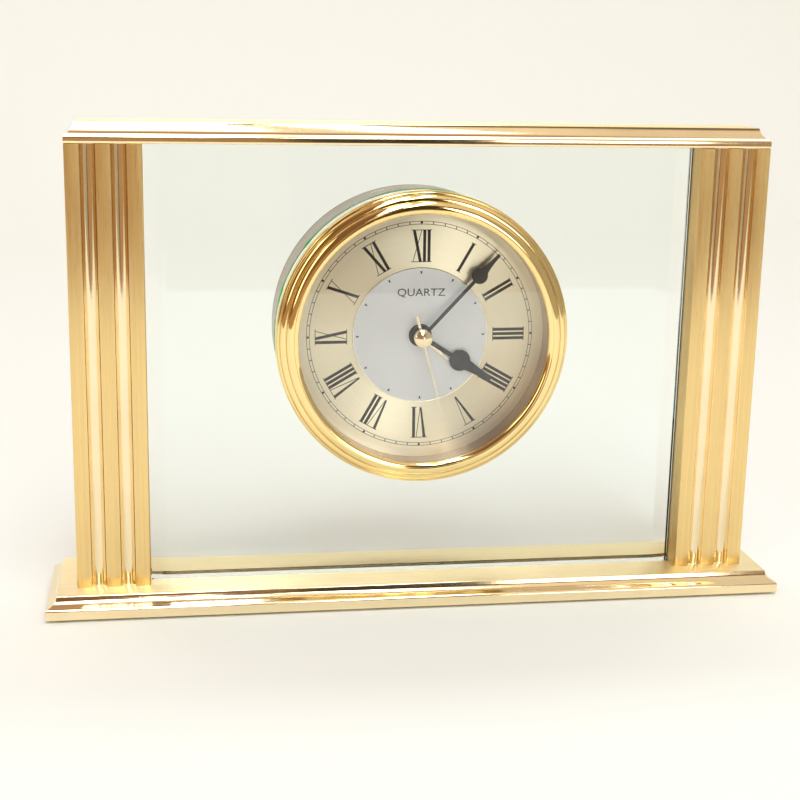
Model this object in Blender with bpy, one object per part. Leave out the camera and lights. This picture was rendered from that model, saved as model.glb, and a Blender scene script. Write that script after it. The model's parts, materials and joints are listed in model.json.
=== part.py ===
"""Mantel alarm clock: a round quartz clock head held in a clear glass panel between two fluted brass pillars.

Frame: +X to the viewer's right, the dial faces -Y, +Z up. The origin is on the underside of the felt pad,
under the middle of the base. All lengths in this file are in millimetres and are turned into metres on output.
"""
import math

import bmesh
import bpy
from mathutils import Vector
from mathutils.geometry import tessellate_polygon

MM = 0.001
GAP = 0.3                      # working gap between neighbouring pieces

# stand
PAD_T = 0.8                    # felt pad thickness
BASE_HX, BASE_HY = 120.0, 21.5  # base half length and half depth
BASE_T = 6.84                  # base height without the pad
BASE_BAND = 3.1                # upright lower band of the base moulding
BASE_SET = 3.4                 # set-back of the upper tier
BASE_TOP = PAD_T + BASE_T
PILLAR_IN, PILLAR_OUT = 87.5, 110.55
PILLAR_HY = 10.93
FLUTE_W, FLUTE_D = 4.6, 2.25
PILLAR_TOP = PAD_T + 146.67
RAIL_HX, RAIL_HY, RAIL_T = 110.6, 10.85, 6.38
RAIL_BAND, RAIL_SET = 2.33, 3.6
BOLT_R, BOLT_HOLE_R = 2.0, 2.3

# glass
GLASS_HX, GLASS_F, GLASS_B = 87.2, -5.2, 5.0
BEVEL_W, BEVEL_D = 6.2, 2.35
GROOVE_D = 1.2
HOLE_R = 46.9

# clock head: axis height and depths
ZC = PAD_T + 85.5
DIAL_F, DIAL_T = -0.6, 0.5
DIAL_R = 41.5
DISC_R, DISC_T = 22.15, 0.3
LIP_R = 40.65
BEZEL_R = 47.2
CASE_R, NECK_R, CASE_WALL = 46.27, 45.2, 1.4
CASE_BACK, BACK_T = 27.1, 2.0
CRYSTAL_F, CRYSTAL_T = -10.4, 1.5

# hands: rest angles clockwise from twelve, seen from the front
HOUR_DEG, MINUTE_DEG, SECOND_DEG, ALARM_DEG = 122.2, 42.75, 164.6, 133.0

# movement
MOVE_H = 28.0                  # half side of the square movement
TEETH = dict(rotor=6, fifth=30, fifth_leaf=6, second=36, second_leaf=6, third=45, third_leaf=6, centre=48,
             cannon=12, minute=36, minute_leaf=10, hour=40, alarm=40, alarm_leaf=10)
M_MOTION = 0.30                # module of the cannon pinion and the minute wheel
MINUTE_AXIS = (6.86, 2.5)      # from the hands' axis, x and z
ALARM_AXIS = (-7.16, 2.6)
THIRD_AXIS = (0.0, 6.58)
FIFTH_AXIS = (0.0, 6.40)
ROTOR_AXIS = (2.75, 11.16)
SEG_BIG, SEG_MID, SEG_SMALL = 64, 40, 16

MATERIALS = {
    "brushed_gold": ((0.86, 0.60, 0.28), 0.30, 1.0),
    "polished_gold": ((0.92, 0.66, 0.28), 0.08, 1.0),
    "dial_gold": ((0.84, 0.72, 0.50), 0.38, 0.9),
    "dial_silver": ((0.70, 0.71, 0.72), 0.55, 0.3),
    "hand_black": ((0.03, 0.03, 0.03), 0.45, 0.0),
    "hand_gold": ((0.88, 0.66, 0.34), 0.20, 1.0),
    "clear_glass": ((0.88, 0.95, 0.91), 0.02, 0.0),
    "clear_acrylic": ((0.95, 0.96, 0.96), 0.03, 0.0),
    "grey_case": ((0.50, 0.46, 0.41), 0.35, 0.7),
    "soft_rubber": ((0.60, 0.62, 0.60), 0.80, 0.0),
    "felt": ((0.05, 0.07, 0.05), 1.0, 0.0),
    "steel": ((0.60, 0.60, 0.61), 0.30, 1.0),
    "gear_brass": ((0.78, 0.60, 0.30), 0.35, 1.0),
    "white_nylon": ((0.85, 0.85, 0.82), 0.55, 0.0),
    "black_plastic": ((0.04, 0.04, 0.045), 0.50, 0.0),
    "copper": ((0.72, 0.35, 0.18), 0.35, 1.0),
    "board": ((0.05, 0.25, 0.12), 0.50, 0.0),
    "magnet": ((0.25, 0.25, 0.26), 0.40, 0.8),
    "cell_sleeve": ((0.10, 0.16, 0.30), 0.35, 0.2),
}


# ---------------------------------------------------------------- helpers
def material(name):
    m = bpy.data.materials.get(name)
    if m:
        return m
    colour, rough, metal = MATERIALS[name]
    m = bpy.data.materials.new(name)
    m.use_nodes = True
    b = m.node_tree.nodes["Principled BSDF"]
    b.inputs["Base Color"].default_value = (*colour, 1.0)
    b.inputs["Roughness"].default_value = rough
    b.inputs["Metallic"].default_value = metal
    return m


def make(name, verts, faces, mat, origin=(0.0, 0.0, 0.0), crease=32.0):
    """One closed body; origin is where the object's own origin goes, in millimetres."""
    me = bpy.data.meshes.new(name)
    bm = bmesh.new()
    vs = [bm.verts.new(((v[0] - origin[0]) * MM, (v[1] - origin[1]) * MM, (v[2] - origin[2]) * MM)) for v in verts]
    for f in faces:
        if len(set(f)) >= 3:
            bm.faces.new([vs[i] for i in f])
    loose = [v for v in bm.verts if not v.link_faces]
    bmesh.ops.delete(bm, geom=loose, context="VERTS")
    bmesh.ops.recalc_face_normals(bm, faces=bm.faces)
    bm.to_mesh(me)
    bm.free()
    for p in me.polygons:
        p.use_smooth = True
    me.set_sharp_from_angle(angle=math.radians(crease))
    me.materials.append(material(mat))
    ob = bpy.data.objects.new(name, me)
    ob.location = tuple(c * MM for c in origin)
    bpy.context.scene.collection.objects.link(ob)
    return ob


def circle(r, n, cx=0.0, cz=0.0, phase=0.0):
    return [(cx + r * math.cos(phase + 2 * math.pi * i / n), cz + r * math.sin(phase + 2 * math.pi * i / n))
            for i in range(n)]


def rect(cx, cz, hx, hz):
    return [(cx - hx, cz - hz), (cx + hx, cz - hz), (cx + hx, cz + hz), (cx - hx, cz + hz)]


def rounded_rect(cx, cz, hx, hz, r, n=5):
    pts = []
    for sx, sz, a0 in ((1, -1, -90), (1, 1, 0), (-1, 1, 90), (-1, -1, 180)):
        for i in range(n + 1):
            a = math.radians(a0 + 90 * i / n)
            pts.append((cx + sx * (hx - r) + r * math.cos(a), cz + sz * (hz - r) + r * math.sin(a)))
    return pts


def turn(pts, deg, cx=0.0, cz=0.0):
    """Turn (x, z) points clockwise as seen from the front."""
    a = -math.radians(deg)
    c, s = math.cos(a), math.sin(a)
    return [(cx + (x - cx) * c - (z - cz) * s, cz + (x - cx) * s + (z - cz) * c) for x, z in pts]


def shift(pts, dx, dz):
    return [(x + dx, z + dz) for x, z in pts]


class Shell:
    """Collects loops of points that lie in planes of constant y, and the walls and caps between them."""

    def __init__(self, dx=0.0, dz=0.0, along="y"):
        self.v, self.f, self.d, self.along = [], [], (dx, dz), along

    def loop(self, pts, y):
        start = len(self.v)
        for x, z in pts:
            if self.along == "y":
                self.v.append((x + self.d[0], y, z + self.d[1]))
            elif self.along == "z":
                self.v.append((x + self.d[0], z + self.d[1], y))
            else:
                self.v.append((y, x + self.d[0], z + self.d[1]))
        return list(range(start, start + len(pts)))

    def wall(self, a, b):
        n = len(a)
        for i in range(n):
            self.f.append((a[i], a[(i + 1) % n], b[(i + 1) % n], b[i]))

    def cap(self, outer, *holes):
        if not holes:
            self.f.append(tuple(outer))
            return
        loops = [outer, *holes]
        flat = [i for lp in loops for i in lp]
        pts = []
        for lp in loops:
            row = []
            for i in lp:
                x, y, z = self.v[i]
                row.append(Vector((x, z, 0)) if self.along == "y" else
                           Vector((x, y, 0)) if self.along == "z" else Vector((y, z, 0)))
            pts.append(row)
        for t in tessellate_polygon(pts):
            self.f.append(tuple(flat[k] for k in t))

    def make(self, name, mat, origin=(0.0, 0.0, 0.0), crease=32.0):
        return make(name, self.v, self.f, mat, origin, crease)


def stack(name, levels, mat, dx=0.0, dz=0.0, bore=None, origin=None, crease=32.0, along="y"):
    """Prisms one after another along the axis, as one body. levels: (y0, y1, outline); neighbours nest."""
    s = Shell(dx, dz, along)
    rings = [(s.loop(o, y0), s.loop(o, y1)) for y0, y1, o in levels]
    for a, b in rings:
        s.wall(a, b)
    inner = (s.loop(bore, levels[0][0]), s.loop(bore, levels[-1][1])) if bore else None
    if inner:
        s.wall(*inner)
        s.cap(rings[0][0], inner[0])
        s.cap(rings[-1][1], inner[1])
    else:
        s.cap(rings[0][0])
        s.cap(rings[-1][1])
    for (a, b), (c, d), la, lb in zip(rings, rings[1:], levels, levels[1:]):
        ra = max(math.hypot(x - dxy[0], z - dxy[1]) for dxy in [mean(la[2])] for x, z in la[2])
        rb = max(math.hypot(x - dxy[0], z - dxy[1]) for dxy in [mean(lb[2])] for x, z in lb[2])
        if ra > rb:
            s.cap(b, c)
        else:
            s.cap(c, b)
    return s.make(name, mat, origin or (0.0, 0.0, 0.0), crease)


def mean(pts):
    return (sum(p[0] for p in pts) / len(pts), sum(p[1] for p in pts) / len(pts))


def revolve(name, profile, n, mat, closed=True, origin=None, crease=32.0, centre=(0.0, ZC)):
    """profile: (r, y) points. A closed profile makes a ring; an open one starts and ends on the axis."""
    v, f, rows = [], [], []
    for r, y in profile:
        if r < 1e-6:
            rows.append([len(v)] * n)
            v.append((centre[0], y, centre[1]))
        else:
            rows.append(list(range(len(v), len(v) + n)))
            v += [(centre[0] + r * math.cos(2 * math.pi * i / n), y, centre[1] + r * math.sin(2 * math.pi * i / n))
                  for i in range(n)]
    pairs = list(zip(rows, rows[1:] + (rows[:1] if closed else [])))
    for a, b in (pairs if closed else pairs[: len(rows) - 1]):
        for i in range(n):
            q = [a[i], a[(i + 1) % n], b[(i + 1) % n], b[i]]
            face = []
            for k in q:
                if k not in face:
                    face.append(k)
            if len(face) >= 3:
                f.append(tuple(face))
    return make(name, v, f, mat, origin or (0.0, 0.0, 0.0), crease)


def tiers(name, rings, mat, pockets_top=None, pockets_bottom=None):
    """A rectangular moulding: (half x, half y, z) rings from the bottom up, mitred at the corners.

    pockets_*: (list of plan outlines, depth) cut into the top or the bottom face; a depth of None runs right through.
    """
    s = Shell(along="z")
    loops = [s.loop(rect(0, 0, hx, hy), z) for hx, hy, z in rings]
    for a, b in zip(loops, loops[1:]):
        s.wall(a, b)
    top, bottom, z0, z1 = [], [], rings[0][2], rings[-1][2]
    for outline, kind, depth in pockets_top or []:
        if kind == "pocket":
            a, b = s.loop(outline, z1), s.loop(outline, z1 - depth)
            s.wall(a, b)
            s.cap(b)
            top.append(a)
        else:
            # a through hole with a wider counterbore from below
            wide, wide_depth = depth
            a, b = s.loop(outline, z1), s.loop(outline, z0 + wide_depth)
            c, d = s.loop(wide, z0 + wide_depth), s.loop(wide, z0)
            s.wall(a, b)
            s.wall(c, d)
            s.cap(c, b)
            top.append(a)
            bottom.append(d)
    for outline, depth in pockets_bottom or []:
        a, b = s.loop(outline, z0), s.loop(outline, z0 + depth)
        s.wall(a, b)
        s.cap(b)
        bottom.append(a)
    s.cap(loops[-1], *top)
    s.cap(loops[0], *bottom)
    return s.make(name, mat, crease=25.0)


def wheel(n, m, phase):
    """Wheel teeth: flat tips and v-shaped spaces."""
    r, p, out = n * m / 2, 2 * math.pi / n, []
    for i in range(n):
        a = phase + p * i
        for rr, k in ((r - 1.15 * m, -0.5), (r + 0.75 * m, -0.07), (r + 0.75 * m, 0.07)):
            out.append((rr * math.cos(a + k * p), rr * math.sin(a + k * p)))
    return out


def leaf(n, m, phase):
    """Pinion leaves, slimmer than the wheel's teeth."""
    r, p, out = n * m / 2, 2 * math.pi / n, []
    for i in range(n):
        a = phase + p * i
        for rr, k in ((r - 1.15 * m, -0.17), (r + 0.70 * m, -0.05), (r + 0.70 * m, 0.05), (r - 1.15 * m, 0.17)):
            out.append((rr * math.cos(a + k * p), rr * math.sin(a + k * p)))
    return out


def bearing(a, b):
    return math.atan2(b[1] - a[1], b[0] - a[0])


def hand(hub_r, shaft, lobe_at, lobe_r, tip, tip_w, n=10):
    """A spade hand pointing to +Z about the origin: hub, shaft, round lobe and a hollow-sided point."""
    right = []
    a0 = math.asin(shaft / hub_r)
    for i in range(1, 13):
        a = -math.pi / 2 + (math.pi - a0) * i / 12
        right.append((hub_r * math.cos(a), hub_r * math.sin(a)))
    b0 = math.asin(shaft / lobe_r)
    for i in range(n + 1):
        a = -math.pi / 2 + b0 + (math.radians(128) - b0) * i / n
        right.append((lobe_r * math.cos(a), lobe_at + lobe_r * math.sin(a)))
    x0, z0 = right[-1]
    for i in range(1, 7):
        t = i / 6
        k = (1 - t) ** 1.8
        right.append((tip_w + (x0 - tip_w) * k, z0 + (tip - z0) * t))
    left = [(-x, z) for x, z in reversed(right)]
    out = [(0.0, -hub_r)] + right + left
    return out


# ---------------------------------------------------------------- clear the scene
for ob in list(bpy.data.objects):
    bpy.data.objects.remove(ob, do_unlink=True)

# ---------------------------------------------------------------- stand
tiers("felt_pad", [(117.0, 18.5, 0.0), (117.0, 18.5, PAD_T)], "felt")


def moulding(hx, hy, z0, height, band, setback, cove=6):
    """Rings of the moulding: upright band, thin groove, hollow sweep up to a small upright step, flat top."""
    e, step = 0.35, 1.15
    rings = [(hx - e, hy - e, z0), (hx, hy, z0 + e), (hx, hy, z0 + band - 0.3), (hx - 0.3, hy - 0.3, z0 + band),
             (hx - 0.75, hy - 0.75, z0 + band)]
    x_in, x_out = hx - setback - 0.35, hx - 0.75
    z_lo, z_hi = z0 + band, z0 + height - step
    for i in range(1, cove + 1):
        a = math.pi / 2 * i / cove
        rings.append((x_out - (x_out - x_in) * math.sin(a), hy - 0.75 - (x_out - x_in) * math.sin(a),
                      z_lo + (z_hi - z_lo) * (1 - math.cos(a))))
    rings += [(hx - setback, hy - setback, z_hi), (hx - setback, hy - setback, z0 + height - 0.2),
              (hx - setback - 0.2, hy - setback - 0.2, z0 + height)]
    return rings


BOLT_X = (PILLAR_IN + PILLAR_OUT) / 2
GROOVE_HX, GROOVE_HY = GLASS_HX + 0.25, 5.4
groove = rect(0, -0.1, GROOVE_HX, GROOVE_HY)
tiers("base_plate", moulding(BASE_HX, BASE_HY, PAD_T + 0.05, BASE_T - 0.05, BASE_BAND, BASE_SET), "brushed_gold",
      pockets_top=[(groove, "pocket", GROOVE_D),
                   (circle(BOLT_HOLE_R, SEG_SMALL, -BOLT_X, 0), "hole", (circle(4.3, SEG_SMALL, -BOLT_X, 0), 3.0)),
                   (circle(BOLT_HOLE_R, SEG_SMALL, BOLT_X, 0), "hole", (circle(4.3, SEG_SMALL, BOLT_X, 0), 3.0))])
tiers("top_rail", moulding(RAIL_HX, RAIL_HY, PILLAR_TOP + 0.05, RAIL_T - 0.05, RAIL_BAND, RAIL_SET), "brushed_gold",
      pockets_bottom=[(groove, GROOVE_D), (circle(BOLT_HOLE_R, SEG_SMALL, -BOLT_X, 0), 4.0),
                      (circle(BOLT_HOLE_R, SEG_SMALL, BOLT_X, 0), 4.0)])


def pillar_outline(side):
    """Plan of a pillar: plain back and sides, front with two round flutes between three flats."""
    x0, x1 = (PILLAR_IN + 0.02, PILLAR_OUT) if side > 0 else (-PILLAR_OUT, -PILLAR_IN - 0.02)
    w = x1 - x0
    flat = (w - 2 * FLUTE_W) / 3
    pts, c = [(x1 - 0.4, PILLAR_HY), (x0 + 0.4, PILLAR_HY), (x0, PILLAR_HY - 0.4), (x0, -PILLAR_HY + 0.4),
              (x0 + 0.4, -PILLAR_HY)], x0 + flat
    for _ in range(2):
        for i in range(9):
            a = math.pi * i / 8
            pts.append((c + FLUTE_W / 2 - FLUTE_W / 2 * math.cos(a), -PILLAR_HY + FLUTE_D * math.sin(a)))
        c += FLUTE_W + flat
    pts += [(x1 - 0.4, -PILLAR_HY), (x1, -PILLAR_HY + 0.4), (x1, PILLAR_HY - 0.4)]
    return pts


for label, side in (("left_pillar", -1), ("right_pillar", 1)):
    stack(label, [(BASE_TOP + 0.05, PILLAR_TOP, pillar_outline(side))], "brushed_gold", along="z",
          bore=circle(BOLT_HOLE_R, SEG_SMALL, side * BOLT_X, 0))
for label, side in (("left_tie_bolt", -1), ("right_tie_bolt", 1)):
    stack(label, [(PAD_T + 0.3, PAD_T + 2.7, circle(3.9, 6, side * BOLT_X, 0)),
                  (PAD_T + 2.7, PILLAR_TOP + 3.6, circle(BOLT_R, SEG_SMALL, side * BOLT_X, 0))], "steel", along="z")

# ---------------------------------------------------------------- glass
for label, z0, z1 in (("glass_seat", BASE_TOP - GROOVE_D + 0.05, BASE_TOP - GROOVE_D + 0.55),
                      ("glass_cushion", PILLAR_TOP + GROOVE_D - 0.50, PILLAR_TOP + GROOVE_D)):
    stack(label, [(z0, z1, rect(0, -0.1, GLASS_HX - 0.6, 4.6))], "soft_rubber", along="z")
GLASS_Z0, GLASS_Z1 = BASE_TOP - GROOVE_D + 0.6, PILLAR_TOP + GROOVE_D - 0.55


def glass_panel():
    s = Shell()
    z0, z1, hx, bx, yb = GLASS_Z0, GLASS_Z1, GLASS_HX, GLASS_HX - BEVEL_W, GLASS_F + BEVEL_D
    hole = circle(HOLE_R, SEG_BIG, 0, ZC)
    front, back = s.loop(rect(0, (z0 + z1) / 2, bx, (z1 - z0) / 2), GLASS_F), \
        s.loop(rect(0, (z0 + z1) / 2, hx, (z1 - z0) / 2), GLASS_B)
    mid = s.loop(rect(0, (z0 + z1) / 2, hx, (z1 - z0) / 2), yb)
    hf, hb = s.loop(hole, GLASS_F), s.loop(hole, GLASS_B)
    s.cap(front, hf)
    s.cap(back, hb)
    s.wall(hf, hb)
    f, m, b = front, mid, back
    s.f += [(f[0], m[0], m[3], f[3]), (f[1], m[1], m[2], f[2]),          # bevels
            (m[0], b[0], b[3], m[3]), (m[1], b[1], b[2], m[2]),          # side edges
            (f[0], f[1], m[1], b[1], b[0], m[0]), (f[3], f[2], m[2], b[2], b[3], m[3])]
    s.make("glass_panel", "clear_glass")


glass_panel()

# ---------------------------------------------------------------- clock head, outer pieces
revolve("bezel_gasket", [(HOLE_R - 1.1, GLASS_F - 0.05), (HOLE_R - 1.1, GLASS_F - 0.35),
                         (46.7, GLASS_F - 0.35), (46.7, GLASS_F - 0.05)], SEG_MID, "soft_rubber")


def reed(r0, y0, r1, y1, bulge, n):
    """Points of a bulging arc from (r0, y0) to (r1, y1), outward and forward."""
    out = []
    dx, dy = r1 - r0, y1 - y0
    length = math.hypot(dx, dy)
    nx, ny = -dy / length, dx / length
    if nx - ny < 0:
        nx, ny = -nx, -ny
    for i in range(1, n):
        t = i / n
        k = math.sin(math.pi * t) ** 0.85 * bulge
        out.append((r0 + dx * t + nx * k, y0 + dy * t + ny * k))
    return out


bezel_profile = (
    [(45.45, -5.7), (46.95, -5.7), (BEZEL_R, -5.95), (BEZEL_R - 0.1, -6.25)]
    + reed(46.55, -6.4, 45.95, -8.6, 0.75, 4) + [(45.95, -8.6)]
    + reed(45.95, -8.6, 43.85, -10.2, 0.85, 4) + [(43.85, -10.2)]
    + reed(43.85, -10.2, 41.75, -11.5, 0.85, 4) + [(41.75, -11.5)]
    + [(41.35, -11.62), (LIP_R, -11.1), (LIP_R, -10.75), (42.05, -10.75),
       (42.05, -1.0), (43.55, -1.0), (43.55, -5.15), (45.45, -5.15)])
revolve("bezel", bezel_profile, SEG_BIG, "polished_gold")
revolve("crystal", [(0, CRYSTAL_F - 0.05), (30.0, CRYSTAL_F), (41.7, CRYSTAL_F + 0.05), (41.7, CRYSTAL_F + CRYSTAL_T),
                    (0, CRYSTAL_F + CRYSTAL_T)], SEG_MID, "clear_acrylic", closed=False, crease=40)
revolve("reflector_ring", [(LIP_R, CRYSTAL_F + CRYSTAL_T + 0.1), (41.75, CRYSTAL_F + CRYSTAL_T + 0.1),
                           (41.75, DIAL_F - 0.05), (LIP_R, DIAL_F - 0.05)], SEG_BIG, "polished_gold")
revolve("grip_band", [(NECK_R + 0.25, -4.2), (HOLE_R - 0.25, -4.0), (HOLE_R - 0.25, 4.0), (NECK_R + 0.25, 4.2)],
        SEG_MID, "soft_rubber")


def rear_case():
    """Round can: a neck through the glass, a wider body behind it and a back wall with its openings."""
    s = Shell(0, ZC)
    n = SEG_BIG
    outer = [(NECK_R, -4.85), (NECK_R, 5.25), (CASE_R, 5.25), (CASE_R, CASE_BACK - 0.5), (CASE_R - 0.5, CASE_BACK)]
    inner = [(43.85, -4.85), (43.85, 6.4), (CASE_R - CASE_WALL, 6.4), (CASE_R - CASE_WALL, CASE_BACK - BACK_T)]
    lo = [s.loop(circle(r, n), y) for r, y in outer]
    li = [s.loop(circle(r, n), y) for r, y in inner]
    for a, b in zip(lo, lo[1:]):
        s.wall(a, b)
    for a, b in zip(li, li[1:]):
        s.wall(a, b)
    s.wall(lo[0], li[0])
    ho, hi = [], []
    for pts in BACK_OPENINGS:
        a, b = s.loop(pts, CASE_BACK), s.loop(pts, CASE_BACK - BACK_T)
        s.wall(a, b)
        ho.append(a)
        hi.append(b)
    s.cap(lo[-1], *ho)
    s.cap(li[-1], *hi)
    s.make("rear_case", "grey_case")


POSTS = [(37.0 * math.cos(math.radians(a)), 37.0 * math.sin(math.radians(a))) for a in (30, 150, 270)]
BATTERY_W = -19.3              # battery centre below the hands' axis
SWITCH_W = 33.2
KNOB_R = 5.6
BACK_OPENINGS = (
    [circle(1.5, 12, x, z) for x, z in POSTS]
    + [circle(2.4, SEG_SMALL, *MINUTE_AXIS), circle(2.4, SEG_SMALL, *ALARM_AXIS)]
    + [rounded_rect(0, BATTERY_W, 27.3, 8.3, 1.5, 3), rounded_rect(0, SWITCH_W, 5.2, 1.6, 0.6, 2)]
    + [rounded_rect(-23.0, z, 6.0, 0.8, 0.5, 1) for z in (10.0, 14.0, 18.0)])
rear_case()

# ---------------------------------------------------------------- dial and hands
stack("dial_plate", [(DIAL_F, DIAL_F + DIAL_T, circle(DIAL_R, SEG_BIG))], "dial_gold", 0, ZC, bore=circle(3.8, SEG_SMALL))
stack("dial_centre", [(DIAL_F - 0.05 - DISC_T, DIAL_F - 0.05, circle(DISC_R, SEG_MID))], "dial_silver", 0, ZC,
      bore=circle(3.8, SEG_SMALL))
AXIS = (0.0, 0.0, ZC)
alarm_shape = hand(3.3, 0.45, 9.0, 0.95, 18.6, 0.12, 6)
stack("alarm_hand", [(-1.55, -1.3, turn(alarm_shape, ALARM_DEG))], "hand_gold", 0, ZC,
      bore=circle(2.25, SEG_SMALL), origin=AXIS)
hour_shape = hand(3.45, 0.65, 15.3, 3.45, 27.0, 1.0)
stack("hour_hand", [(-3.2, -2.45, circle(3.3, 24)), (-2.45, -2.1, turn(hour_shape, HOUR_DEG))],
      "hand_black", 0, ZC, bore=circle(1.65, SEG_SMALL), origin=AXIS)
minute_shape = hand(2.75, 0.52, 27.0, 2.7, 36.0, 0.45)
stack("minute_hand", [(-4.25, -3.95, turn(minute_shape, MINUTE_DEG)), (-3.95, -3.45, circle(2.6, 24))],
      "hand_black", 0, ZC, bore=circle(1.05, SEG_SMALL), origin=AXIS)


def second_shape():
    """A very thin hand with a slim counterweight tail."""
    right = []
    for i in range(0, 9):
        a = math.radians(-78 + 156 * i / 8)
        right.append((1.5 * math.cos(a), 1.5 * math.sin(a)))
    right += [(0.17, 2.6), (0.11, 25.3)]
    left = [(-x, z) for x, z in reversed(right)]
    tail = [(-0.30, -2.4), (-0.42, -6.9), (0.42, -6.9), (0.30, -2.4)]
    return right + left + tail


stack("second_hand", [(-5.1, -4.95, turn(second_shape(), SECOND_DEG))], "hand_gold", 0, ZC,
      bore=circle(0.45, 12), origin=AXIS)
revolve("centre_cap", [(0, -7.0), (0.5, -6.9), (2.75, -5.75), (2.85, -5.55), (2.85, -5.2), (0, -5.2)], 32, "hand_gold",
        closed=False, origin=AXIS)

# ---------------------------------------------------------------- movement
LV = dict(alarm=(4.0, 4.9), hour=(5.5, 6.4), motion=(7.0, 7.9), centre=(9.0, 9.8), third=(10.8, 11.5),
          second=(12.6, 13.3), fifth=(14.3, 15.0))
T = TEETH
m_leaf = math.hypot(*MINUTE_AXIS) / ((T["minute_leaf"] + T["hour"]) / 2 + 0.2)
m_alarm = math.hypot(*ALARM_AXIS) / ((T["alarm"] + T["alarm_leaf"]) / 2 + 0.2)
m_centre = math.hypot(*THIRD_AXIS) / ((T["centre"] + T["third_leaf"]) / 2 + 0.25)
m_third = math.hypot(*THIRD_AXIS) / ((T["third"] + T["second_leaf"]) / 2 + 0.25)
m_second = math.hypot(*FIFTH_AXIS) / ((T["second"] + T["fifth_leaf"]) / 2 + 0.25)
m_fifth = math.hypot(ROTOR_AXIS[0] - FIFTH_AXIS[0], ROTOR_AXIS[1] - FIFTH_AXIS[1]) / ((T["fifth"] + T["rotor"]) / 2 + 0.25)
O = (0.0, 0.0)


def gap_at(n, a, b):
    """Phase that puts a tooth space of a wheel centred at a on the line to b."""
    return bearing(a, b) + math.pi / n


# front plate with its bushing
stack("movement_plate", [(-0.9, 2.0, circle(3.3, SEG_SMALL)), (2.0, 3.2, rect(0, 0, MOVE_H, MOVE_H))],
      "black_plastic", 0, ZC, bore=circle(2.4, SEG_SMALL))
# wheels that turn the hands, each with its tube
stack("alarm_wheel", [(-1.6, 3.45, circle(2.2, SEG_SMALL)), (3.45, LV["alarm"][0], circle(2.9, SEG_SMALL)),
                      (*LV["alarm"], wheel(T["alarm"], m_alarm, gap_at(T["alarm"], O, ALARM_AXIS)))],
      "gear_brass", 0, ZC, bore=circle(1.75, SEG_SMALL), origin=AXIS)
stack("hour_wheel", [(-3.25, 5.1, circle(1.6, SEG_SMALL)), (5.1, LV["hour"][0], circle(2.6, SEG_SMALL)),
                     (*LV["hour"], wheel(T["hour"], m_leaf, gap_at(T["hour"], O, MINUTE_AXIS)))],
      "white_nylon", 0, ZC, bore=circle(1.15, SEG_SMALL), origin=AXIS)
stack("cannon_pinion", [(-4.3, 6.7, circle(1.0, SEG_SMALL)),
                        (6.7, 8.1, leaf(T["cannon"], M_MOTION, bearing(O, MINUTE_AXIS))),
                        (8.1, 8.7, circle(1.1, SEG_SMALL))],
      "gear_brass", 0, ZC, bore=circle(0.6, SEG_SMALL), origin=AXIS)
MA = (MINUTE_AXIS[0], 0.0, ZC + MINUTE_AXIS[1])
stack("minute_wheel", [(3.5, 5.3, circle(0.6, 12)),
                       (5.3, 6.6, leaf(T["minute_leaf"], m_leaf, bearing(MINUTE_AXIS, O))),
                       (7.0 - 0.4, 7.0, circle(0.7, 12)),
                       (*LV["motion"], wheel(T["minute"], M_MOTION, gap_at(T["minute"], MINUTE_AXIS, O))),
                       (7.9, 29.6, circle(0.8, 12))],
      "white_nylon", MINUTE_AXIS[0], ZC + MINUTE_AXIS[1], origin=MA)
AA = (ALARM_AXIS[0], 0.0, ZC + ALARM_AXIS[1])
stack("alarm_pinion", [(3.5, 3.9, circle(0.6, 12)),
                       (3.9, 5.0, leaf(T["alarm_leaf"], m_alarm, bearing(ALARM_AXIS, O))),
                       (5.0, 29.6, circle(0.8, 12))],
      "white_nylon", ALARM_AXIS[0], ZC + ALARM_AXIS[1], origin=AA)
stack("centre_wheel", [(*LV["centre"], wheel(T["centre"], m_centre, gap_at(T["centre"], O, THIRD_AXIS))),
                       (9.8, 10.3, circle(1.6, SEG_SMALL))],
      "gear_brass", 0, ZC, bore=circle(0.6, SEG_SMALL), origin=AXIS)
TA = (THIRD_AXIS[0], 0.0, ZC + THIRD_AXIS[1])
stack("third_wheel", [(8.5, 8.9, circle(0.3, 12)),
                      (8.9, 10.0, leaf(T["third_leaf"], m_centre, bearing(THIRD_AXIS, O))),
                      (10.0, 10.8, circle(0.38, 12)),
                      (*LV["third"], wheel(T["third"], m_third, gap_at(T["third"], THIRD_AXIS, O))),
                      (11.5, 12.1, circle(0.45, 12))],
      "white_nylon", TA[0], TA[2], origin=TA)
stack("second_wheel", [(-5.15, 10.6, circle(0.38, 12)),
                       (10.6, 11.8, leaf(T["second_leaf"], m_third, bearing(O, THIRD_AXIS))),
                       (11.8, 12.6, circle(0.38, 12)),
                       (*LV["second"], wheel(T["second"], m_second, gap_at(T["second"], O, FIFTH_AXIS))),
                       (13.3, 14.2, circle(0.5, 12))],
      "white_nylon", 0, ZC, origin=AXIS)
FA = (FIFTH_AXIS[0], 0.0, ZC + FIFTH_AXIS[1])
stack("fifth_wheel", [(12.25, 12.5, circle(0.3, 12)),
                      (12.5, 13.5, leaf(T["fifth_leaf"], m_second, bearing(FIFTH_AXIS, O))),
                      (13.5, 14.3, circle(0.38, 12)),
                      (*LV["fifth"], wheel(T["fifth"], m_fifth, gap_at(T["fifth"], FIFTH_AXIS, ROTOR_AXIS))),
                      (15.0, 15.7, circle(0.45, 12))],
      "white_nylon", FA[0], FA[2], origin=FA)
RA = (ROTOR_AXIS[0], 0.0, ZC + ROTOR_AXIS[1])
stack("rotor", [(13.7, 14.1, circle(0.25, 12)),
                (14.1, 15.2, leaf(T["rotor"], m_fifth, bearing(ROTOR_AXIS, FIFTH_AXIS))),
                (15.2, 16.0, circle(0.4, 12)), (16.0, 18.0, circle(2.8, 24)), (18.0, 18.6, circle(0.4, 12))],
      "magnet", RA[0], RA[2], origin=RA)
s = Shell(0, ZC)
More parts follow.
